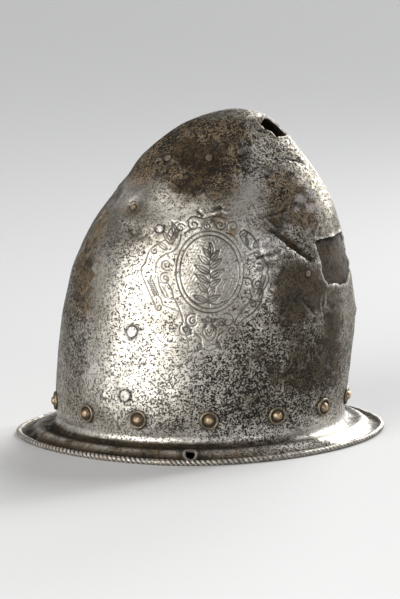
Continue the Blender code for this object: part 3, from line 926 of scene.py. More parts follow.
def engrave(skin):
    """Cut the engraved lines, worn shallow in places, and note the cleaner metal by them."""
    gap, firm = engraving_gap(skin.base)
    near = gap < 0.003
    skin.clean = swell(gap, 0, 0.0021) * skin.outer
    worn = np.clip(0.9 + 0.3 * waves(skin.base[near], 0.012, 0.03, 30, 8), 0.8, 1) * firm[near]
    cut = swell(gap[near], 0, LINE_WIDTH * 0.55) * skin.outer[near] * worn
    skin.lift[near] -= LINE_DEPTH * cut
    skin.groove[near] = cut


def open_cracks(skin):
    """Open the cracks and creases, each with a broken lip along its lower side, with dirt and painted shade
    in the groove and wear and a painted highlight on the lip.
    """
    for (_, width, depth, lip, dark, light), line in zip(CRACKS, CRACK_LINES):
        gap, side = crack_gap(skin.base, line)
        gap = np.abs(gap + 0.0003 * waves(skin.base, 0.0018, 0.005, 30, 17)) / MM
        slit = swell(gap, 0, width)
        broken = np.clip(0.75 + 0.7 * waves(skin.base, 0.004, 0.012, 30, 27), 0, 1.3)
        fold = swell(gap, width * 1.6 + 0.5, 0.6 + width * 0.5) * (side < 0) * broken
        skin.lift += (lip * fold - depth * slit) * MM
        # Dirt and painted shade in the groove, wear and a painted highlight on the lip
        skin.dirt = np.maximum(skin.dirt, dark * slit)
        skin.wear = np.maximum(skin.wear, light * fold * skin.outer)


def sink_pits(skin):
    """Sink the small holes that rust has eaten, with a faint bright rim."""
    for x, z, radius, depth in DEEP_PITS:
        gap = np.linalg.norm(skin.base - side_place(x, z), axis=1) / MM
        gap = gap + 0.5 * waves(skin.base, 0.002, 0.006, 30, 19)
        bowl = np.exp(-np.clip(gap / radius, 0, 9) ** 4)
        skin.lift -= depth * bowl * MM
        skin.dirt = np.maximum(skin.dirt, bowl)
        skin.wear = np.maximum(skin.wear, 0.3 * swell(gap, radius * 1.25, 0.4))


def shape_rims(skin, drawn):
    """Curl and brighten the torn rims, and roll the rim of the brim's hole."""
    for seed, outline in enumerate(TORN_HOLES, 12):
        gap = rim_gap(drawn, outline)
        skin.lift += swell(gap, 0, 0.0022) * waves(skin.base, 0.006, 0.02, 20, seed) * 0.0006
        skin.wear = np.maximum(skin.wear, swell(gap, 0, 0.0010) * 0.9)
    gap = rim_gap(drawn, HOLES[-1])
    ring = swell(gap, 0.0007, 0.0007)
    skin.lift += ring * 0.0005 * skin.outer
    skin.wear = np.maximum(skin.wear, 0.6 * ring)
    skin.dirt = np.maximum(skin.dirt, 0.85 * swell(gap, 0.0031, 0.0014))


# How wide the soft border between the two sides is
MIDDLE_SOFTNESS = 0.022


def on_which_side(points, side):
    """A soft mask of one side of the helmet, with a ragged edge along its middle."""
    border = 0.5 * waves(points, 0.010, 0.045, 30, 51)
    return np.clip(0.5 + points[:, 1] * side / MIDDLE_SOFTNESS + border, 0, 1)


def patches(points):
    """How strongly each kind of patch covers each place."""
    covers = {row[0]: np.zeros(len(points)) for row in PATCHES}
    sides = {side: on_which_side(points, side) for side in (-1, 1)}
    for kind, side, along, up, width, height, lean, strength in PATCHES:
        angle = math.radians(lean)
        x, z = points[:, 0] / MM - along, points[:, 2] / MM - up
        a = (x * math.cos(angle) + z * math.sin(angle)) / (width / 2)
        b = (z * math.cos(angle) - x * math.sin(angle)) / (height / 2)
        spot = np.exp(-(a * a + b * b) ** 1.3 * 0.9) * sides[side]
        covers[kind] += strength * spot * (1 - np.clip(covers[kind], 0, 1))
    return covers


# Dirt round a washer, and dirt with painted shade round another rivet: how far it spreads, how strong it is
WASHER_DIRT = (0.0016, 0.75)
RIVET_DIRT_AND_SHADE = (0.0011, 1.0)


def rivet_halos(points):
    """Dirt round the rivets, with painted shade as well round the rivets other than the lining's."""
    halos = np.zeros(len(points))
    seats = [(turn, RIVET_ROW_UP, WASHER_RADIUS, *WASHER_DIRT) for turn in LINING_TURNS]
    # Round the odd rivets the dark ring is also painted shade
    seats += [(*row[2:5], *RIVET_DIRT_AND_SHADE) for row in ODD_RIVETS]
    for turn, up, radius, spread, strength in seats:
        middle = np.array(wall_place(turn, up)[0])
        gap = np.linalg.norm(points - middle, axis=1) - radius
        halos = np.maximum(halos, strength * swell(np.maximum(gap, 0), 0, spread))
    return halos


def paint(mesh, name, red, green=0.0, blue=0.0):
    """Store up to three measures of each place as one colour attribute."""
    count = len(mesh.vertices)
    values = np.ones((count, 4), np.float32)
    for column, value in enumerate((red, green, blue)):
        values[:, column] = value
    layer = mesh.attributes.new(name, "FLOAT_COLOR", "POINT")
    layer.data.foreach_set("color", values.ravel())


def add_piece(name, mesh, nodes, material):
    """Put a mesh in the scene in place of pieces of the frame."""
    piece = bpy.data.objects.new(name, mesh)
    bpy.context.scene.collection.objects.link(piece)
    mesh.materials.append(material)
    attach(piece, "root")
    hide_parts(*nodes)
    return piece


# How close corners lie that are one, and the angle from which an edge of a fitting is drawn sharp
WELD = 0.00002
FITTING_SHARP = 50


def tidy_mesh(mesh, sharp):
    """Weld what lies together and set how the mesh is shaded."""
    form = bmesh.new()
    form.from_mesh(mesh)
    bmesh.ops.remove_doubles(form, verts=form.verts, dist=WELD)
    wide = [face for face in form.faces if len(face.verts) > 4]
    bmesh.ops.triangulate(form, faces=wide)
    form.to_mesh(mesh)
    form.free()
    mesh.shade_smooth()
    mesh.set_sharp_from_angle(angle=math.radians(sharp))


# Bands of the brim from its foot outward, as shares of the way out: middle and reach
HOLLOWS = ((0.24, 0.18), (0.80, 0.13))
RIDGE = (0.54, 0.08)
RIDGE_STAIN = (0.54, 0.12)
# The fillet at the foot of the wall, lightened with a painted highlight
FILLET_HIGHLIGHT = (0.01, 0.03)
# The painted highlight along the foot of the wall: middle and reach, as run
FOOT_HIGHLIGHT = (0.35, 0.5)


def weather_brim(skin):
    """Dirty the hollows of the brim; wear its ridge and paint a highlight on it, on the fillet and along the
    foot of the wall; and brown its near side toward the front.
    """
    place, out = skin.place, -skin.run
    brim = ramp(out, 0, 1 / 14)
    near = np.clip(0.5 - place[:, 1] / 0.08 + 0.4 * waves(place, 0.010, 0.045, 30, 52), 0, 1)
    front = up_to(place[:, 0], 0.012, 0.03) * near
    middle = up_to(place[:, 0], 0.060, 0.05) * near
    golden = brim * np.maximum(front, 0.7 * middle)
    ridge = swell(out, *RIDGE) * brim + swell(out, *FILLET_HIGHLIGHT)
    hollow = sum(swell(out, *band) for band in HOLLOWS) * brim
    caked = 0.8 + 0.25 * waves(place, 0.008, 0.025, 40, 41)
    broken = np.clip(0.7 + 0.4 * waves(place, 0.008, 0.03, 40, 42), 0, 1)
    skin.dirt = np.maximum(skin.dirt, 0.92 * hollow * caked)
    # The ridge is lightened with wear and a painted highlight, the fillet with a painted highlight
    skin.wear = np.maximum(skin.wear, 0.9 * ridge * skin.outer * broken * (1 - 0.45 * golden))
    skin.stain = np.maximum(skin.stain, brim * (0.40 + 0.25 * middle + 0.30 * front))
    skin.stain = np.maximum(skin.stain, 1.1 * golden * swell(out, *RIDGE_STAIN))
    skin.umber = np.maximum(skin.umber, brim * np.maximum(front, 0.35 * middle) * (1 - 0.75 * ridge))
    skin.pitting += (0.22 - 0.16 * middle) * brim
    # Painted highlight along the foot of the wall
    skin.bright = np.maximum(skin.bright, 0.9 * swell(skin.run, *FOOT_HIGHLIGHT))


# The polished wedge of the near brim with its painted highlight, in degrees round the helmet: where
# it starts a quarter of the way out, how much that shifts over a whole brim's width, where it ends,
# and where the painted shadow in front of it starts
WEDGE_START = -46
WEDGE_SLANT = 22
WEDGE_END = -5
WEDGE_SHADOW = -66
# Height under which the wedge lies
WEDGE_TOP = 0.03


def polish_and_paint_brim_highlight(skin):
    """Polish the near brim toward the back and paint a highlight on it, with a painted shadow in front of the
    highlight.
    """
    place, out = skin.place, -skin.run
    way = np.degrees(np.arctan2(place[:, 1], place[:, 0]))
    reach = 0.31 + 0.33 * ramp(way, -44, 26)
    band = swell(out, reach - 0.04, reach, 4) * skin.outer * (place[:, 2] < WEDGE_TOP)
    start = WEDGE_START + WEDGE_SLANT * (out - 0.25) + 1.2 * waves(place, 0.006, 0.02, 30, 43)
    # Painted highlight on the polished wedge, and painted shadow in front of it
    shine = ramp(way, start, 3) * ramp(-way, -WEDGE_END, 12) * band
    shadow = ramp(start, way, 3) * ramp(way, WEDGE_SHADOW, 14) * band
    skin.dirt = np.maximum(skin.dirt, 0.75 * shadow) * (1 - 0.9 * shine)
    skin.stain = skin.stain * (1 - shine)
    skin.bright = np.maximum(skin.bright, shine)
    skin.pitting -= 0.6 * shine


# Pitting of the bare wall, and the angle from which an edge of the sheet is drawn sharp
PLAIN_PITTING = 0.36
SHEET_SHARP = 55


def add_skull(material):
    """The skull with its brim."""
    form = pattern_sheet()
    for near, reach, cuts in FINER_FACES:
        split(form, near, reach, cuts)
    mesh = bpy.data.meshes.new("skull sheet")
    form.to_mesh(mesh)
    form.free()
    skin = raised(mesh)
    skin.dirt = np.maximum(skin.dirt, rivet_halos(skin.place))
    for kind, cover in patches(skin.place).items():
        setattr(skin, kind, cover)
    skin.pitting += PLAIN_PITTING
    weather_brim(skin)
    polish_and_paint_brim_highlight(skin)
    paint(mesh, "patina", np.clip(skin.pitting, 0, 1), skin.stain, skin.bright)
    paint(mesh, "relief", skin.groove, np.clip(skin.dirt, 0, 1), np.clip(skin.wear, 0, 1))
    paint(mesh, "place", 1 - skin.outer, skin.clean)
    paint(mesh, "marks", skin.pale, skin.umber)
    tidy_mesh(mesh, SHEET_SHARP)
    return add_piece("skull_sheet", mesh, ("skull",), material)


# The roped edge: length of a twist, corners round it and along it, depth of a notch, and how far
# under its middle, as an angle, its flat foot starts
ROPE_PITCH = 0.0041
ROPE_SIDES = 14
ROPE_STEPS = 1740
ROPE_DEPTH = 0.00055
ROPE_REST = math.radians(66)


def add_rope(material):
    """The turned edge of the brim, worked like a twisted rope."""
    dense = np.linspace(0, math.tau, 20001)
    outline = edge_outline(dense)
    lengths = np.concatenate(((0,), np.cumsum(np.linalg.norm(np.diff(outline, axis=0), axis=1))))
    twists = round(lengths[-1] / ROPE_PITCH)
    steps = np.arange(ROPE_STEPS) / ROPE_STEPS
    turns = np.interp(steps * lengths[-1], lengths, dense)
    outer = edge_outline(turns)
    foot = wall_form(turns, np.zeros_like(turns)) * (1, 1, 0)
    way = (outer - foot) / np.linalg.norm(outer - foot, axis=1, keepdims=True)
    rise = EDGE_RADIUS * math.sin(ROPE_REST)
    angles = np.arange(ROPE_SIDES) * math.tau / ROPE_SIDES
    stray = waves(outer, 0.03, 0.09, 20, 21)[:, None] * 0.5
    notch = np.abs(np.cos(math.pi * steps[:, None] * twists + angles[None, :] * 0.9 + stray)) ** 5
    back = ramp(outer[:, 0], -0.02, 0.11)
    keep = np.clip(1.0 - 0.45 * back + 0.28 * waves(outer, 0.012, 0.05, 30, 22), 0.25, 1.1)
    radius = EDGE_RADIUS - ROPE_DEPTH * notch * keep[:, None]
    radius = radius + 0.00012 * waves(outer, 0.01, 0.04, 30, 23)[:, None]
    across = np.minimum(radius * np.cos(angles), EDGE_RADIUS)
    centre = outer - way * EDGE_RADIUS
    points = centre[:, None, :] + way[:, None, :] * across[..., None]
    points[..., 2] = np.maximum(rise + radius * np.sin(angles), 0.0)
    vertices = points.reshape(-1, 3)
    row = np.arange(ROPE_STEPS)[:, None] * ROPE_SIDES
    ahead = (np.arange(ROPE_STEPS)[:, None] + 1) % ROPE_STEPS * ROPE_SIDES
    here = np.arange(ROPE_SIDES)[None, :]
    after = (here + 1) % ROPE_SIDES
    faces = np.stack((row + here, ahead + here, ahead + after, row + after), -1).reshape(-1, 4)
    mesh = bpy.data.meshes.new("roped edge")
    mesh.from_pydata(vertices.tolist(), [], faces.tolist())
    # The crests are lightened, most on the top of the roll: wear and a painted highlight; the notches are
    # darkened: painted shade
    top = np.sin(angles)[None, :] * 0.5 + 0.5
    crest_wear_and_highlight = (1 - notch) * keep[:, None] * (0.55 + 0.45 * top)
    front = up_to(vertices[:, 0], 0.035, 0.05)
    paint(mesh, "patina", 0.25, 0.30 + 0.30 * front, 0.35 * crest_wear_and_highlight.ravel())
    paint(mesh, "relief", (notch * keep[:, None]).ravel() * 0.9, 0.0, crest_wear_and_highlight.ravel() * 0.8)
    paint(mesh, "place", 0.0)
    paint(mesh, "marks", 0.0, 0.25)
    mesh.shade_smooth()
    return add_piece("roped_edge", mesh, ("skull",), material)


def turned_mesh(name, profile, sides, seed, rough):
    """Turn a profile round an axis, a little out of true."""
    source = np.random.default_rng(seed)
    angles = np.arange(sides) * math.tau / sides
    second, third = source.uniform(0, 6), source.uniform(0, 6)
    wobble = 1 + rough * np.cos(2 * angles + second) + rough * 0.6 * np.cos(3 * angles + third)
    vertices, rings, faces = [], [], []
    for radius, height in profile:
        if radius == 0:
            rings.append([len(vertices)])
            vertices.append((0.0, 0.0, height))
            continue
        rings.append(list(range(len(vertices), len(vertices) + sides)))
        tilt = rough * radius * 0.6
        for angle, share in zip(angles, wobble):
            lean = tilt * math.cos(angle + seed)
            across = radius * share
            vertices.append((across * math.cos(angle), across * math.sin(angle), height + lean))
    for upper, lower in zip(rings, rings[1:]):
        for index in range(sides):
            after = (index + 1) % sides
            if len(upper) == 1:
                faces.append((upper[0], lower[index], lower[after]))
            elif len(lower) == 1:
                faces.append((upper[index], lower[0], upper[after]))
            else:
                faces.append((upper[index], lower[index], lower[after], upper[after]))
    mesh = bpy.data.meshes.new(name)
    mesh.from_pydata(vertices, [], faces)
    return mesh


def dome(radius, height, flat_share, base, steps=7):
    """A head with a round shoulder, from its top down to its rim, as radius and height."""
    points = [(0.0, base + height)]
    for step in range(1, steps + 1):
        share = (step / steps) ** 0.7
        fall = max(0.0, share - flat_share) / (1 - flat_share)
        points.append((radius * share, base + height * (1 - 0.06 * share - 0.94 * fall ** 2.6)))
    return points


# How far a rivet's tail reaches past its shank
TAIL_SPREAD = 0.0014


def rivet_profile(base, radius, height, flat_share, shank, tail_top):
    """A rivet from its head down to its hammered tail."""
    tail = shank + TAIL_SPREAD
    return dome(radius, height, flat_share, base) + [
        (radius * 0.97, base - 0.00008),
        (shank, base - 0.00005),
        (shank, tail_top),
        (tail, tail_top),
        (tail * 0.92, tail_top - 0.0007),
        (tail * 0.5, tail_top - 0.0011),
        (0.0, tail_top - 0.0012),
    ]


# Radius of a washer's hole
WASHER_BORE = 0.0021


def washer_profile():
    """A cupped washer with a rolled rim."""
    radius = WASHER_RADIUS
    return [
        (WASHER_BORE, 0.0007),
        (radius * 0.60, 0.0006),
        (radius * 0.72, 0.0009),
        (radius * 0.80, 0.0014),
        (radius * 0.87, 0.0016),
        (radius * 0.94, 0.0013),
        (radius * 0.99, 0.0006),
        (radius, 0.0),
        (WASHER_BORE, 0.0),
        (WASHER_BORE, 0.0007),
    ]


# Corners of the ring that is felt for on the wall, and how far off the feeling starts
SEAT_CORNERS = 12
SEAT_START = 0.02


def seat(tree, point, normal, radius):
    """How high and how low a disc meets the wall along its own axis."""
    side = normal.orthogonal().normalized()
    other = normal.cross(side)
    spots = [point]
    for step in range(SEAT_CORNERS):
        angle = math.tau * step / SEAT_CORNERS
        spots.append(point + (side * math.cos(angle) + other * math.sin(angle)) * radius)
    high, low = [], []
    for spot in spots:
        top = tree.ray_cast(spot + normal * SEAT_START, -normal)[0]
        bottom = tree.ray_cast(spot - normal * SEAT_START, normal)[0]
        if top is not None and bottom is not None:
            high.append((top - point).dot(normal))
            low.append((bottom - point).dot(normal))
    return max(high), min(low)


def aged(kind, share, reach, stain):
    """Wear and dirt of a fastener, by the share of its height and the way out from its axis, with painted
    shade round the foot of an odd rivet.
    """
    if kind == "washer":
        out = reach / WASHER_RADIUS
        return 0.9 * swell(out, 0.88, 0.06), np.clip((0.82 - out) * 10, 0, 0.84)
    if kind == "lining":
        return 0.7 * np.clip((share - 0.6) * 2.2, 0, 1), np.clip(1.1 - share * 2.6, 0, 1)
    # An odd rivet darkens toward its foot: painted shade
    return np.clip((share - 0.6) * 3, 0, 1) * max(0.0, 0.9 - stain), np.clip(1.0 - share * 2.4, 0, 1)


def place_turned(kind, name, mesh, node, slot, materials, point, normal, spin, stain):
    """Stand a turned mesh on the wall and paint it by its height."""
    turn = normal.to_track_quat("Z", "Y").to_matrix().to_4x4()
    places = places_of(mesh)
    heights = places[:, 2]
    share = np.clip(heights / heights.max(), 0, 1)
    wear, dirt = aged(kind, share, np.linalg.norm(places[:, :2], axis=1), stain)
    paint(mesh, "relief", 0.0, dirt, wear)
    paint(mesh, "patina", 0.4, stain, 0.3 * (1 - min(stain, 1)))
    paint(mesh, "place", (heights < -0.0003) * 1.0)
    paint(mesh, "marks", 0.0)
    mesh.transform(Matrix.Translation(point) @ turn @ Matrix.Rotation(spin, 4, "Z"))
    mesh.shade_smooth()
    mesh.set_sharp_from_angle(angle=math.radians(FITTING_SHARP))
    return add_piece(name, mesh, (node,), materials[slot])


def wall_place(turn, up):
    """A place on the dented wall and its normal."""
    turn = np.array([math.radians(turn)])
    climb = climb_at(np.array([up]))
    point = dented(turn, climb)[0]
    normal = facing(dented, turn, climb)[0]
    return Vector(point), Vector(normal)


def tree_of(mesh):
    """A search tree of a mesh."""
    form = bmesh.new()
    form.from_mesh(mesh)
    tree = BVHTree.FromBMesh(form)
    form.free()
    return tree


def add_fasteners(skull_mesh, plate_mesh, materials):
    """Every rivet and washer."""
    tree = tree_of(skull_mesh)
    plate_tree = tree_of(plate_mesh)
    for number, turn in enumerate(LINING_TURNS, 1):
        point, normal = wall_place(turn, RIVET_ROW_UP)
        high, low = seat(tree, point, normal, WASHER_RADIUS)
        point = point + normal * (high + 0.0001)
        mesh = turned_mesh("washer", washer_profile(), 40, number, 0.018)
        place_turned(
            "washer", f"washer_{number:02d}_look", mesh, f"rivet_washer_{number:02d}",
            "washer_brass", materials, point, normal, number * 1.3, 0.35,
        )
        profile = rivet_profile(0.0009, LINING_HEAD, 0.0030, 0.20, 0.0017, low - high - 0.0004)
        mesh = turned_mesh("lining rivet", profile, 32, number + 20, 0.022)
        place_turned(
            "lining", f"lining_{number:02d}_look", mesh, f"lining_rivet_{number:02d}",
            "brass_rivet", materials, point, normal, number * 0.7, 0.15,
        )
    for number, row in enumerate(ODD_RIVETS):
        node, slot, turn, up, radius, height, crown, shank, backed, stain = row
        point, normal = wall_place(turn, up)
        high, _ = seat(tree, point, normal, radius)
        _, low = seat(plate_tree if backed else tree, point, normal, shank + TAIL_SPREAD)
        point = point + normal * (high - 0.00005)
        profile = rivet_profile(0.0001, radius, height, crown, shank, low - high - 0.0003)
        mesh = turned_mesh("odd rivet", profile, 28, number + 50, 0.05)
        place_turned("odd", f"{node}_look", mesh, node, slot, materials, point, normal, number * 0.9, stain)


# The plate: its gap to the wall, its grid, and how high up the painted shade along the rim of the tear
# spreads wider
PATCH_GAP = 0.00035
PATCH_COLUMNS = 85
PATCH_ROWS = 49
PATCH_SHADE_UP = 0.52


def add_plate(material):
    """The plate behind the tear, with painted shade along the tear's rim."""
    turns = np.radians(np.linspace(*PATCH_TURNS, PATCH_COLUMNS))
    climbs = np.linspace(*climb_at(np.array(PATCH_UPS)), PATCH_ROWS)
    turn, climb = (grid.ravel() for grid in np.meshgrid(turns, climbs))
    base = dented(turn, climb)
    normal = facing(dented, turn, climb)
    streak = waves(base * (1, 1, 0.12), 0.0016, 0.006, 40, 31) * 0.00006
    form = bmesh.new()
    layers = []
    for depth in (WALL + PATCH_GAP, WALL + PATCH_GAP + PATCH_THICKNESS):
        place = base - normal * (depth - streak[:, None])
        layers.append([form.verts.new(point) for point in place])
    for level, layer in enumerate(layers):
        for row in range(PATCH_ROWS - 1):
            for column in range(PATCH_COLUMNS - 1):
                first = row * PATCH_COLUMNS + column
                ring = [first, first + 1, first + PATCH_COLUMNS + 1, first + PATCH_COLUMNS]
                if level:
                    ring.reverse()
                form.faces.new([layer[index] for index in ring])
    rim = [edge for edge in form.edges if edge.is_boundary]
    bmesh.ops.bridge_loops(form, edges=rim)
    bmesh.ops.recalc_face_normals(form, faces=form.faces)
    mesh = bpy.data.meshes.new("plate")
    form.to_mesh(mesh)
    form.free()
    inner = np.concatenate((np.zeros(len(turn)), np.ones(len(turn))))
    # Painted shade on the plate along the rim of the tear, wider toward the top
    gap = rim_gap(np.tile(flat(turn, climb), (2, 1)), TORN_HOLES[0])
    top = np.tile((climb - climb_at(PATCH_SHADE_UP)) / 0.9, 2)
    shade = swell(gap, 0, np.where(top > 0, 0.0016, 0.0007)) * np.clip(0.7 + top, 0.35, 1)
    paint(mesh, "patina", 0.25, 0.45, 0.05)
    paint(mesh, "relief", 0.0, np.clip(shade, 0, 1))
    paint(mesh, "place", inner)
    paint(mesh, "marks", 0.0, 0.55)
    mesh.shade_smooth()
    mesh.set_sharp_from_angle(angle=math.radians(FITTING_SHARP))
    return add_piece("tear_plate_look", mesh, ("tear_patch",), material)


def link(tree, source, target):
    """Join two sockets."""
    tree.links.new(source, target)


def add_node(tree, kind, **settings):
    """Add a node; words set its properties and numbered words its inputs."""
    made = tree.nodes.new(kind)
    for key, value in settings.items():
        if key.startswith("in_"):
            target = made.inputs[int(key[3:])]
            if isinstance(value, bpy.types.NodeSocket):
                link(tree, value, target)
            else:
                target.default_value = value
        else:
            setattr(made, key, value)
    return made


def maths(tree, operation, first, second, clamp=False):
    """Work out one value from two."""
    made = add_node(tree, "ShaderNodeMath", operation=operation, use_clamp=clamp, in_0=first, in_1=second)
    return made.outputs[0]


def plus(tree, first, second, clamp=False):
    """Add two values."""
    return maths(tree, "ADD", first, second, clamp)


def minus(tree, first, second):
    """Take the second value from the first."""
    return maths(tree, "SUBTRACT", first, second)


def times(tree, first, second):
    """Multiply two values."""
    return maths(tree, "MULTIPLY", first, second)


def larger(tree, first, second):
    """The larger of two values."""
    return maths(tree, "MAXIMUM", first, second)


def step_between(tree, value, low, high):
    """Turn a value into a mask that rises smoothly between two limits."""
    made = add_node(tree, "ShaderNodeMapRange", in_0=value, in_1=low, in_2=high)
    made.interpolation_type = "SMOOTHSTEP"
    return made.outputs[0]


def blended(tree, share, first, second):
    """Mix two colours."""
    made = tree.nodes.new("ShaderNodeMix")
    made.data_type = "RGBA"
    for index, value in ((0, share), (6, first), (7, second)):
        if isinstance(value, bpy.types.NodeSocket):
            link(tree, value, made.inputs[index])
        else:
            made.inputs[index].default_value = value if index == 0 else (*value, 1.0)
    return made.outputs[2]


def noise(tree, where, scale, detail, rough):
    """A noise value at a place."""
    made = add_node(tree, "ShaderNodeTexNoise", in_0=where, in_2=scale, in_3=detail, in_4=rough)
    return made.outputs[0]


def new_group(name, inputs, outputs):
    """Start a node group with named sockets."""
    tree = bpy.data.node_groups.new(name, "ShaderNodeTree")
    for label, kind in inputs:
        tree.interface.new_socket(label, in_out="INPUT", socket_type=kind)
    for label, kind in outputs:
        tree.interface.new_socket(label, in_out="OUTPUT", socket_type=kind)
    return tree, tree.nodes.new("NodeGroupInput").outputs, tree.nodes.new("NodeGroupOutput").inputs


def pit_group():
    """Rust pits: a mask and a height, more of them where the cover is high."""
    tree, given, found = new_group(
        "rust pits",
        (("Where", "NodeSocketVector"), ("Cover", "NodeSocketFloat")),
        (("Pits", "NodeSocketFloat"), ("Fringe", "NodeSocketFloat"), ("Height", "NodeSocketFloat")),
    )
    where = given["Where"]
    coarse = noise(tree, where, 240.0, 2.0, 0.6)
    fine = noise(tree, where, 860.0, 2.0, 0.75)
    drift = noise(tree, where, 55.0, 3.0, 0.6)
    swirl = add_node(tree, "ShaderNodeTexNoise", in_0=where, in_2=1200.0, in_3=1.0)
    nudge = add_node(tree, "ShaderNodeVectorMath", operation="SCALE", in_0=swirl.outputs["Color"])
    nudge.inputs["Scale"].default_value = 0.0012
    shifted = add_node(tree, "ShaderNodeVectorMath", operation="ADD", in_0=where, in_1=nudge.outputs[0])
    grains = add_node(tree, "ShaderNodeTexVoronoi", in_0=shifted.outputs[0], in_2=900.0)
    grain = add_node(tree, "ShaderNodeSeparateColor", in_0=grains.outputs["Color"]).outputs[0]
    mixed = plus(tree, times(tree, coarse, 0.22), times(tree, fine, 0.54))
    mixed = plus(tree, mixed, times(tree, grain, 0.24))
    mixed = plus(tree, mixed, times(tree, minus(tree, drift, 0.5), 0.20))
    level = minus(tree, 0.600, times(tree, given["Cover"], 0.150))
    over = minus(tree, mixed, level)
    link(tree, step_between(tree, over, -0.010, 0.045), found["Pits"])
    link(tree, step_between(tree, over, -0.070, 0.005), found["Fringe"])
    link(tree, times(tree, step_between(tree, over, -0.04, 0.08), -1.0), found["Height"])
    return tree


def cloud_group():
    """Stains with ragged edges grown from a soft cover, and a mottled tone."""
    tree, given, found = new_group(
        "stain clouds",
        (("Where", "NodeSocketVector"), ("Cover", "NodeSocketFloat")),
        (("Stain", "NodeSocketFloat"), ("Tone", "NodeSocketFloat")),
    )
    large = noise(tree, given["Where"], 45.0, 6.0, 0.62)
    small = noise(tree, given["Where"], 210.0, 5.0, 0.65)
    rough = plus(tree, times(tree, large, 0.5), times(tree, small, 0.5))
    grown = plus(tree, given["Cover"], times(tree, minus(tree, rough, 0.5), 1.9))
    link(tree, step_between(tree, grown, 0.32, 0.74), found["Stain"])
    link(tree, step_between(tree, rough, 0.34, 0.66), found["Tone"])
    return tree


PITS = pit_group()
CLOUDS = cloud_group()


def use_group(tree, group, *values):
    """Put a node group in a material."""
    made = add_node(tree, "ShaderNodeGroup", node_tree=group)
    for target, value in zip(made.inputs, values):
        if isinstance(value, bpy.types.NodeSocket):
            link(tree, value, target)
        else:
            target.default_value = value
    return made.outputs


def measures(tree, name):
    """Read the three measures of a colour attribute."""
    made = add_node(tree, "ShaderNodeAttribute", attribute_name=name)
    return add_node(tree, "ShaderNodeSeparateColor", in_0=made.outputs["Color"]).outputs


# Finishes: plain, bright, film, ochre and pit colours, roughness of the bare metal, pitting
FINISHES = {
    "old_steel": (
        (0.40, 0.373, 0.315), (0.80, 0.772, 0.715), (0.115, 0.094, 0.066),
        (0.22, 0.150, 0.078), (0.009, 0.0068, 0.005), 0.37, 1.0,
    ),
    "patch_steel": (
        (0.085, 0.069, 0.051), (0.19, 0.165, 0.13), (0.036, 0.028, 0.019),
        (0.10, 0.075, 0.045), (0.010, 0.008, 0.006), 0.46, 0.7,
    ),
    "steel_rivet": (
        (0.36, 0.34, 0.31), (0.58, 0.56, 0.53), (0.18, 0.15, 0.12),
        (0.17, 0.12, 0.07), (0.02, 0.015, 0.011), 0.36, 0.7,
    ),
    "brass_rivet": (
        (0.36, 0.258, 0.150), (0.74, 0.58, 0.385), (0.15, 0.105, 0.07),
        (0.11, 0.075, 0.045), (0.016, 0.012, 0.008), 0.44, 0.6,
    ),
    "washer_brass": (
        (0.19, 0.152, 0.10), (0.46, 0.39, 0.28), (0.09, 0.072, 0.05),
        (0.06, 0.045, 0.028), (0.010, 0.008, 0.006), 0.42, 0.6,
    ),
}
# Smooth brown varnish-like crust, its darker heart, and pale haze
UMBER = (0.078, 0.053, 0.028)
UMBER_HEART = (0.018, 0.012, 0.007)
HAZE = (0.37, 0.345, 0.345)
# Gleam of rust and stains; strength and depth of the relief that the shader adds
SPECULAR = 0.22
RELIEF = (0.55, 0.0008)


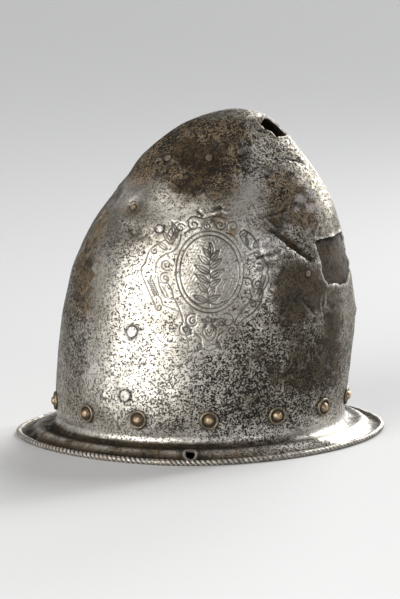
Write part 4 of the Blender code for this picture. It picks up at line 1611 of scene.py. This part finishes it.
def old_metal(name):
    """An old metal, stained, pitted and worn by the measures painted on the mesh."""
    plain, bright, film, brown, pit, roughness, pitted = FINISHES[name]
    material = bpy.data.materials.new(name + " look")
    material.use_nodes = True
    tree = material.node_tree
    shader = tree.nodes["Principled BSDF"]
    shader.inputs["Specular IOR Level"].default_value = SPECULAR
    where = add_node(tree, "ShaderNodeTexCoord").outputs["Object"]
    pitting, stain, polish_and_highlight = measures(tree, "patina")[:3]
    groove, dirt, wear = measures(tree, "relief")[:3]
    within, clean = measures(tree, "place")[:2]
    pale, umber, _ = measures(tree, "marks")[:3]

    cover = times(tree, minus(tree, pitting, times(tree, polish_and_highlight, 0.12)), pitted)
    cover = minus(tree, cover, times(tree, clean, 0.75))
    pits, fringe, depth = use_group(tree, PITS, where, cover)
    cloud, tone = use_group(tree, CLOUDS, where, plus(tree, stain, times(tree, within, 0.7)))
    mottle = step_between(tree, noise(tree, where, 26.0, 5.0, 0.6), 0.36, 0.62)
    # Polish and painted highlights turn the plain colour bright
    shine = plus(tree, times(tree, polish_and_highlight, 0.8), times(tree, mottle, 0.25), clamp=True)

    speck = noise(tree, where, 330.0, 4.0, 0.7)
    hearts = plus(tree, times(tree, noise(tree, where, 70.0, 6.0, 0.7), 0.6), times(tree, speck, 0.4))
    heart = step_between(tree, hearts, 0.45, 0.57)
    haze, crust = use_group(tree, CLOUDS, where, pale)[0], use_group(tree, CLOUDS, where, umber)[0]
    colour = blended(tree, shine, plain, bright)
    dull = times(tree, tone, minus(tree, 0.85, times(tree, shine, 0.50)))
    colour = blended(tree, dull, colour, film)
    rust = blended(tree, heart, brown, tuple(part * 0.13 for part in brown))
    colour = blended(tree, times(tree, cloud, 0.84), colour, rust)
    colour = blended(tree, times(tree, fringe, 0.62), colour, film)
    colour = blended(tree, times(tree, crust, 0.86), colour, blended(tree, heart, UMBER, UMBER_HEART))
    colour = blended(tree, times(tree, haze, 0.7), colour, HAZE)
    # Wear and painted highlights lighten toward the bright colour
    colour = blended(tree, times(tree, wear, 0.85), colour, bright)
    deep = plus(tree, 0.60, times(tree, step_between(tree, cover, 0.25, 0.75), 0.37))
    dark = times(tree, pits, minus(tree, deep, times(tree, crust, 0.2)))
    colour = blended(tree, dark, colour, pit)
    # Dirt and painted shade darken toward the pit colour
    colour = blended(tree, times(tree, dirt, 0.92), colour, pit)
    colour = blended(tree, times(tree, groove, 0.92), colour, pit)
    link(tree, colour, shader.inputs["Base Color"])

    grain = noise(tree, where, 520.0, 3.0, 0.6)
    rough = plus(tree, roughness - 0.06, times(tree, grain, 0.14))
    rough = plus(tree, rough, times(tree, dull, 0.14))
    rough = plus(tree, rough, times(tree, larger(tree, cloud, haze), 0.16))
    rough = plus(tree, rough, times(tree, larger(tree, pits, dirt), 0.30))
    rough = minus(tree, rough, times(tree, polish_and_highlight, 0.06))
    link(tree, maths(tree, "MINIMUM", rough, 0.95), shader.inputs["Roughness"])
    crusted = times(tree, larger(tree, cloud, larger(tree, crust, haze)), 0.55)
    crusted = larger(tree, crusted, larger(tree, pits, dirt))
    link(tree, minus(tree, 1.0, times(tree, crusted, 0.8)), shader.inputs["Metallic"])

    height = plus(tree, times(tree, depth, 0.5), times(tree, grain, 0.12))
    height = plus(tree, height, times(tree, noise(tree, where, 150.0, 3.0, 0.5), 0.5))
    bump = add_node(tree, "ShaderNodeBump")
    bump.inputs["Strength"].default_value, bump.inputs["Distance"].default_value = RELIEF
    link(tree, height, bump.inputs["Height"])
    link(tree, bump.outputs[0], shader.inputs["Normal"])
    return material


# The floor: how far it reaches, and its tone
FLOOR_REACH = 150
FLOOR_TONE = 0.66


def add_stage():
    """A wide pale floor."""
    corners = [(x * FLOOR_REACH, y * FLOOR_REACH, 0) for x, y in ((-1, -1), (1, -1), (1, 1), (-1, 1))]
    mesh = bpy.data.meshes.new("floor")
    mesh.from_pydata(corners, [], [(0, 1, 2, 3)])
    floor = bpy.data.objects.new("floor", mesh)
    bpy.context.scene.collection.objects.link(floor)
    material = bpy.data.materials.new("pale paper")
    material.use_nodes = True
    shader = material.node_tree.nodes["Principled BSDF"]
    shader.inputs["Base Color"].default_value = (FLOOR_TONE, FLOOR_TONE, FLOOR_TONE, 1.0)
    shader.inputs["Roughness"].default_value = 0.9
    mesh.materials.append(material)


# Lamps: name, place, aimed at, width, height, power, colour
LAMPS = (
    ("key", (-1.40, -1.52, 0.82), (0, 0, 0.12), 1.9, 1.9, 55, (1.0, 0.98, 0.95)),
    ("rim", (1.35, 0.95, 0.85), (0, 0, 0.16), 0.22, 0.9, 15, (1.0, 1.0, 1.0)),
    ("fill", (1.30, -1.85, 0.85), (0, 0, 0.12), 0.7, 1.2, 8.0, (0.97, 0.98, 1.0)),
)

# Window light from behind on the right: height and turn in degrees, softness, strength
WINDOWS = (
    (45, 40, 24, 1.8),
    (13, 18, 26, 1.6),
)
# The even surround: colour and strength
SURROUND = ((0.94, 0.96, 1.0, 1.0), 0.17)


def add_lamp(name, kind, power, way, place=(0, 0, 0)):
    """Add a lamp that shines one way, and give its settings."""
    data = bpy.data.lights.new(name, kind)
    data.energy = power
    lamp = bpy.data.objects.new(name, data)
    lamp.location = place
    lamp.rotation_euler = way.to_track_quat("-Z", "Y").to_euler()
    bpy.context.scene.collection.objects.link(lamp)
    return data


def add_lamps():
    """Soft lamps and an even, dim surround."""
    for name, place, aim, wide, tall, power, colour in LAMPS:
        data = add_lamp(name, "AREA", power, Vector(aim) - Vector(place), place)
        data.shape = "RECTANGLE"
        data.size = wide
        data.size_y = tall
        data.color = colour
    for height, turn, softness, strength in WINDOWS:
        height, turn = math.radians(height), math.radians(turn)
        way = Vector((math.sin(turn) * math.cos(height), math.cos(turn) * math.cos(height), math.sin(height)))
        data = add_lamp("window light", "SUN", strength, -way)
        data.angle = math.radians(softness)
    world = bpy.data.worlds.new("surround")
    bpy.context.scene.world = world
    world.use_nodes = True
    background = world.node_tree.nodes["Background"]
    background.inputs["Color"].default_value, background.inputs["Strength"].default_value = SURROUND


# The camera: elevation, distance, place looked at and roll; then, in pixels, its focal length, the
# height of the picture, and how far the place looked at lies off the middle; and its film
CAMERA_RISE = math.radians(10)
CAMERA_DISTANCE = 2.4
CAMERA_AIM = Vector((0, 0, 0.125))
CAMERA_ROLL = 0.02
FOCUS = 2962.96
FRAME_HEIGHT = 599
AIM_OFFSET = (3.01, -20.08)
FILM_HEIGHT = 36


def add_camera():
    """The camera that sees what the photograph shows."""
    back = Vector((0, -math.cos(CAMERA_RISE), math.sin(CAMERA_RISE)))
    level = Vector((1, 0, 0))
    upward = Vector((0, math.sin(CAMERA_RISE), math.cos(CAMERA_RISE)))
    right = level * math.cos(CAMERA_ROLL) - upward * math.sin(CAMERA_ROLL)
    up = level * math.sin(CAMERA_ROLL) + upward * math.cos(CAMERA_ROLL)
    ahead = (-back * FOCUS + right * AIM_OFFSET[0] + up * AIM_OFFSET[1]).normalized()
    right = (right - ahead * right.dot(ahead)).normalized()
    up = right.cross(ahead)
    data = bpy.data.cameras.new("camera")
    data.sensor_fit = "VERTICAL"
    data.sensor_height = FILM_HEIGHT
    data.lens = FILM_HEIGHT * FOCUS / FRAME_HEIGHT
    data.clip_end = 50
    camera = bpy.data.objects.new("camera", data)
    place = CAMERA_AIM + back * CAMERA_DISTANCE
    turn = Matrix((right, up, -ahead)).transposed().to_4x4()
    camera.matrix_world = Matrix.Translation(place) @ turn
    bpy.context.scene.collection.objects.link(camera)
    bpy.context.scene.camera = camera


def main():
    """Dress the helmet and set it before the camera."""
    materials = {name: old_metal(name) for name in FINISHES}
    skull = add_skull(materials["old_steel"])
    add_rope(materials["old_steel"])
    plate = add_plate(materials["patch_steel"])
    add_fasteners(skull.data, plate.data, materials)
    add_stage()
    add_lamps()
    add_camera()
    bpy.context.scene.view_settings.view_transform = "Standard"


main()
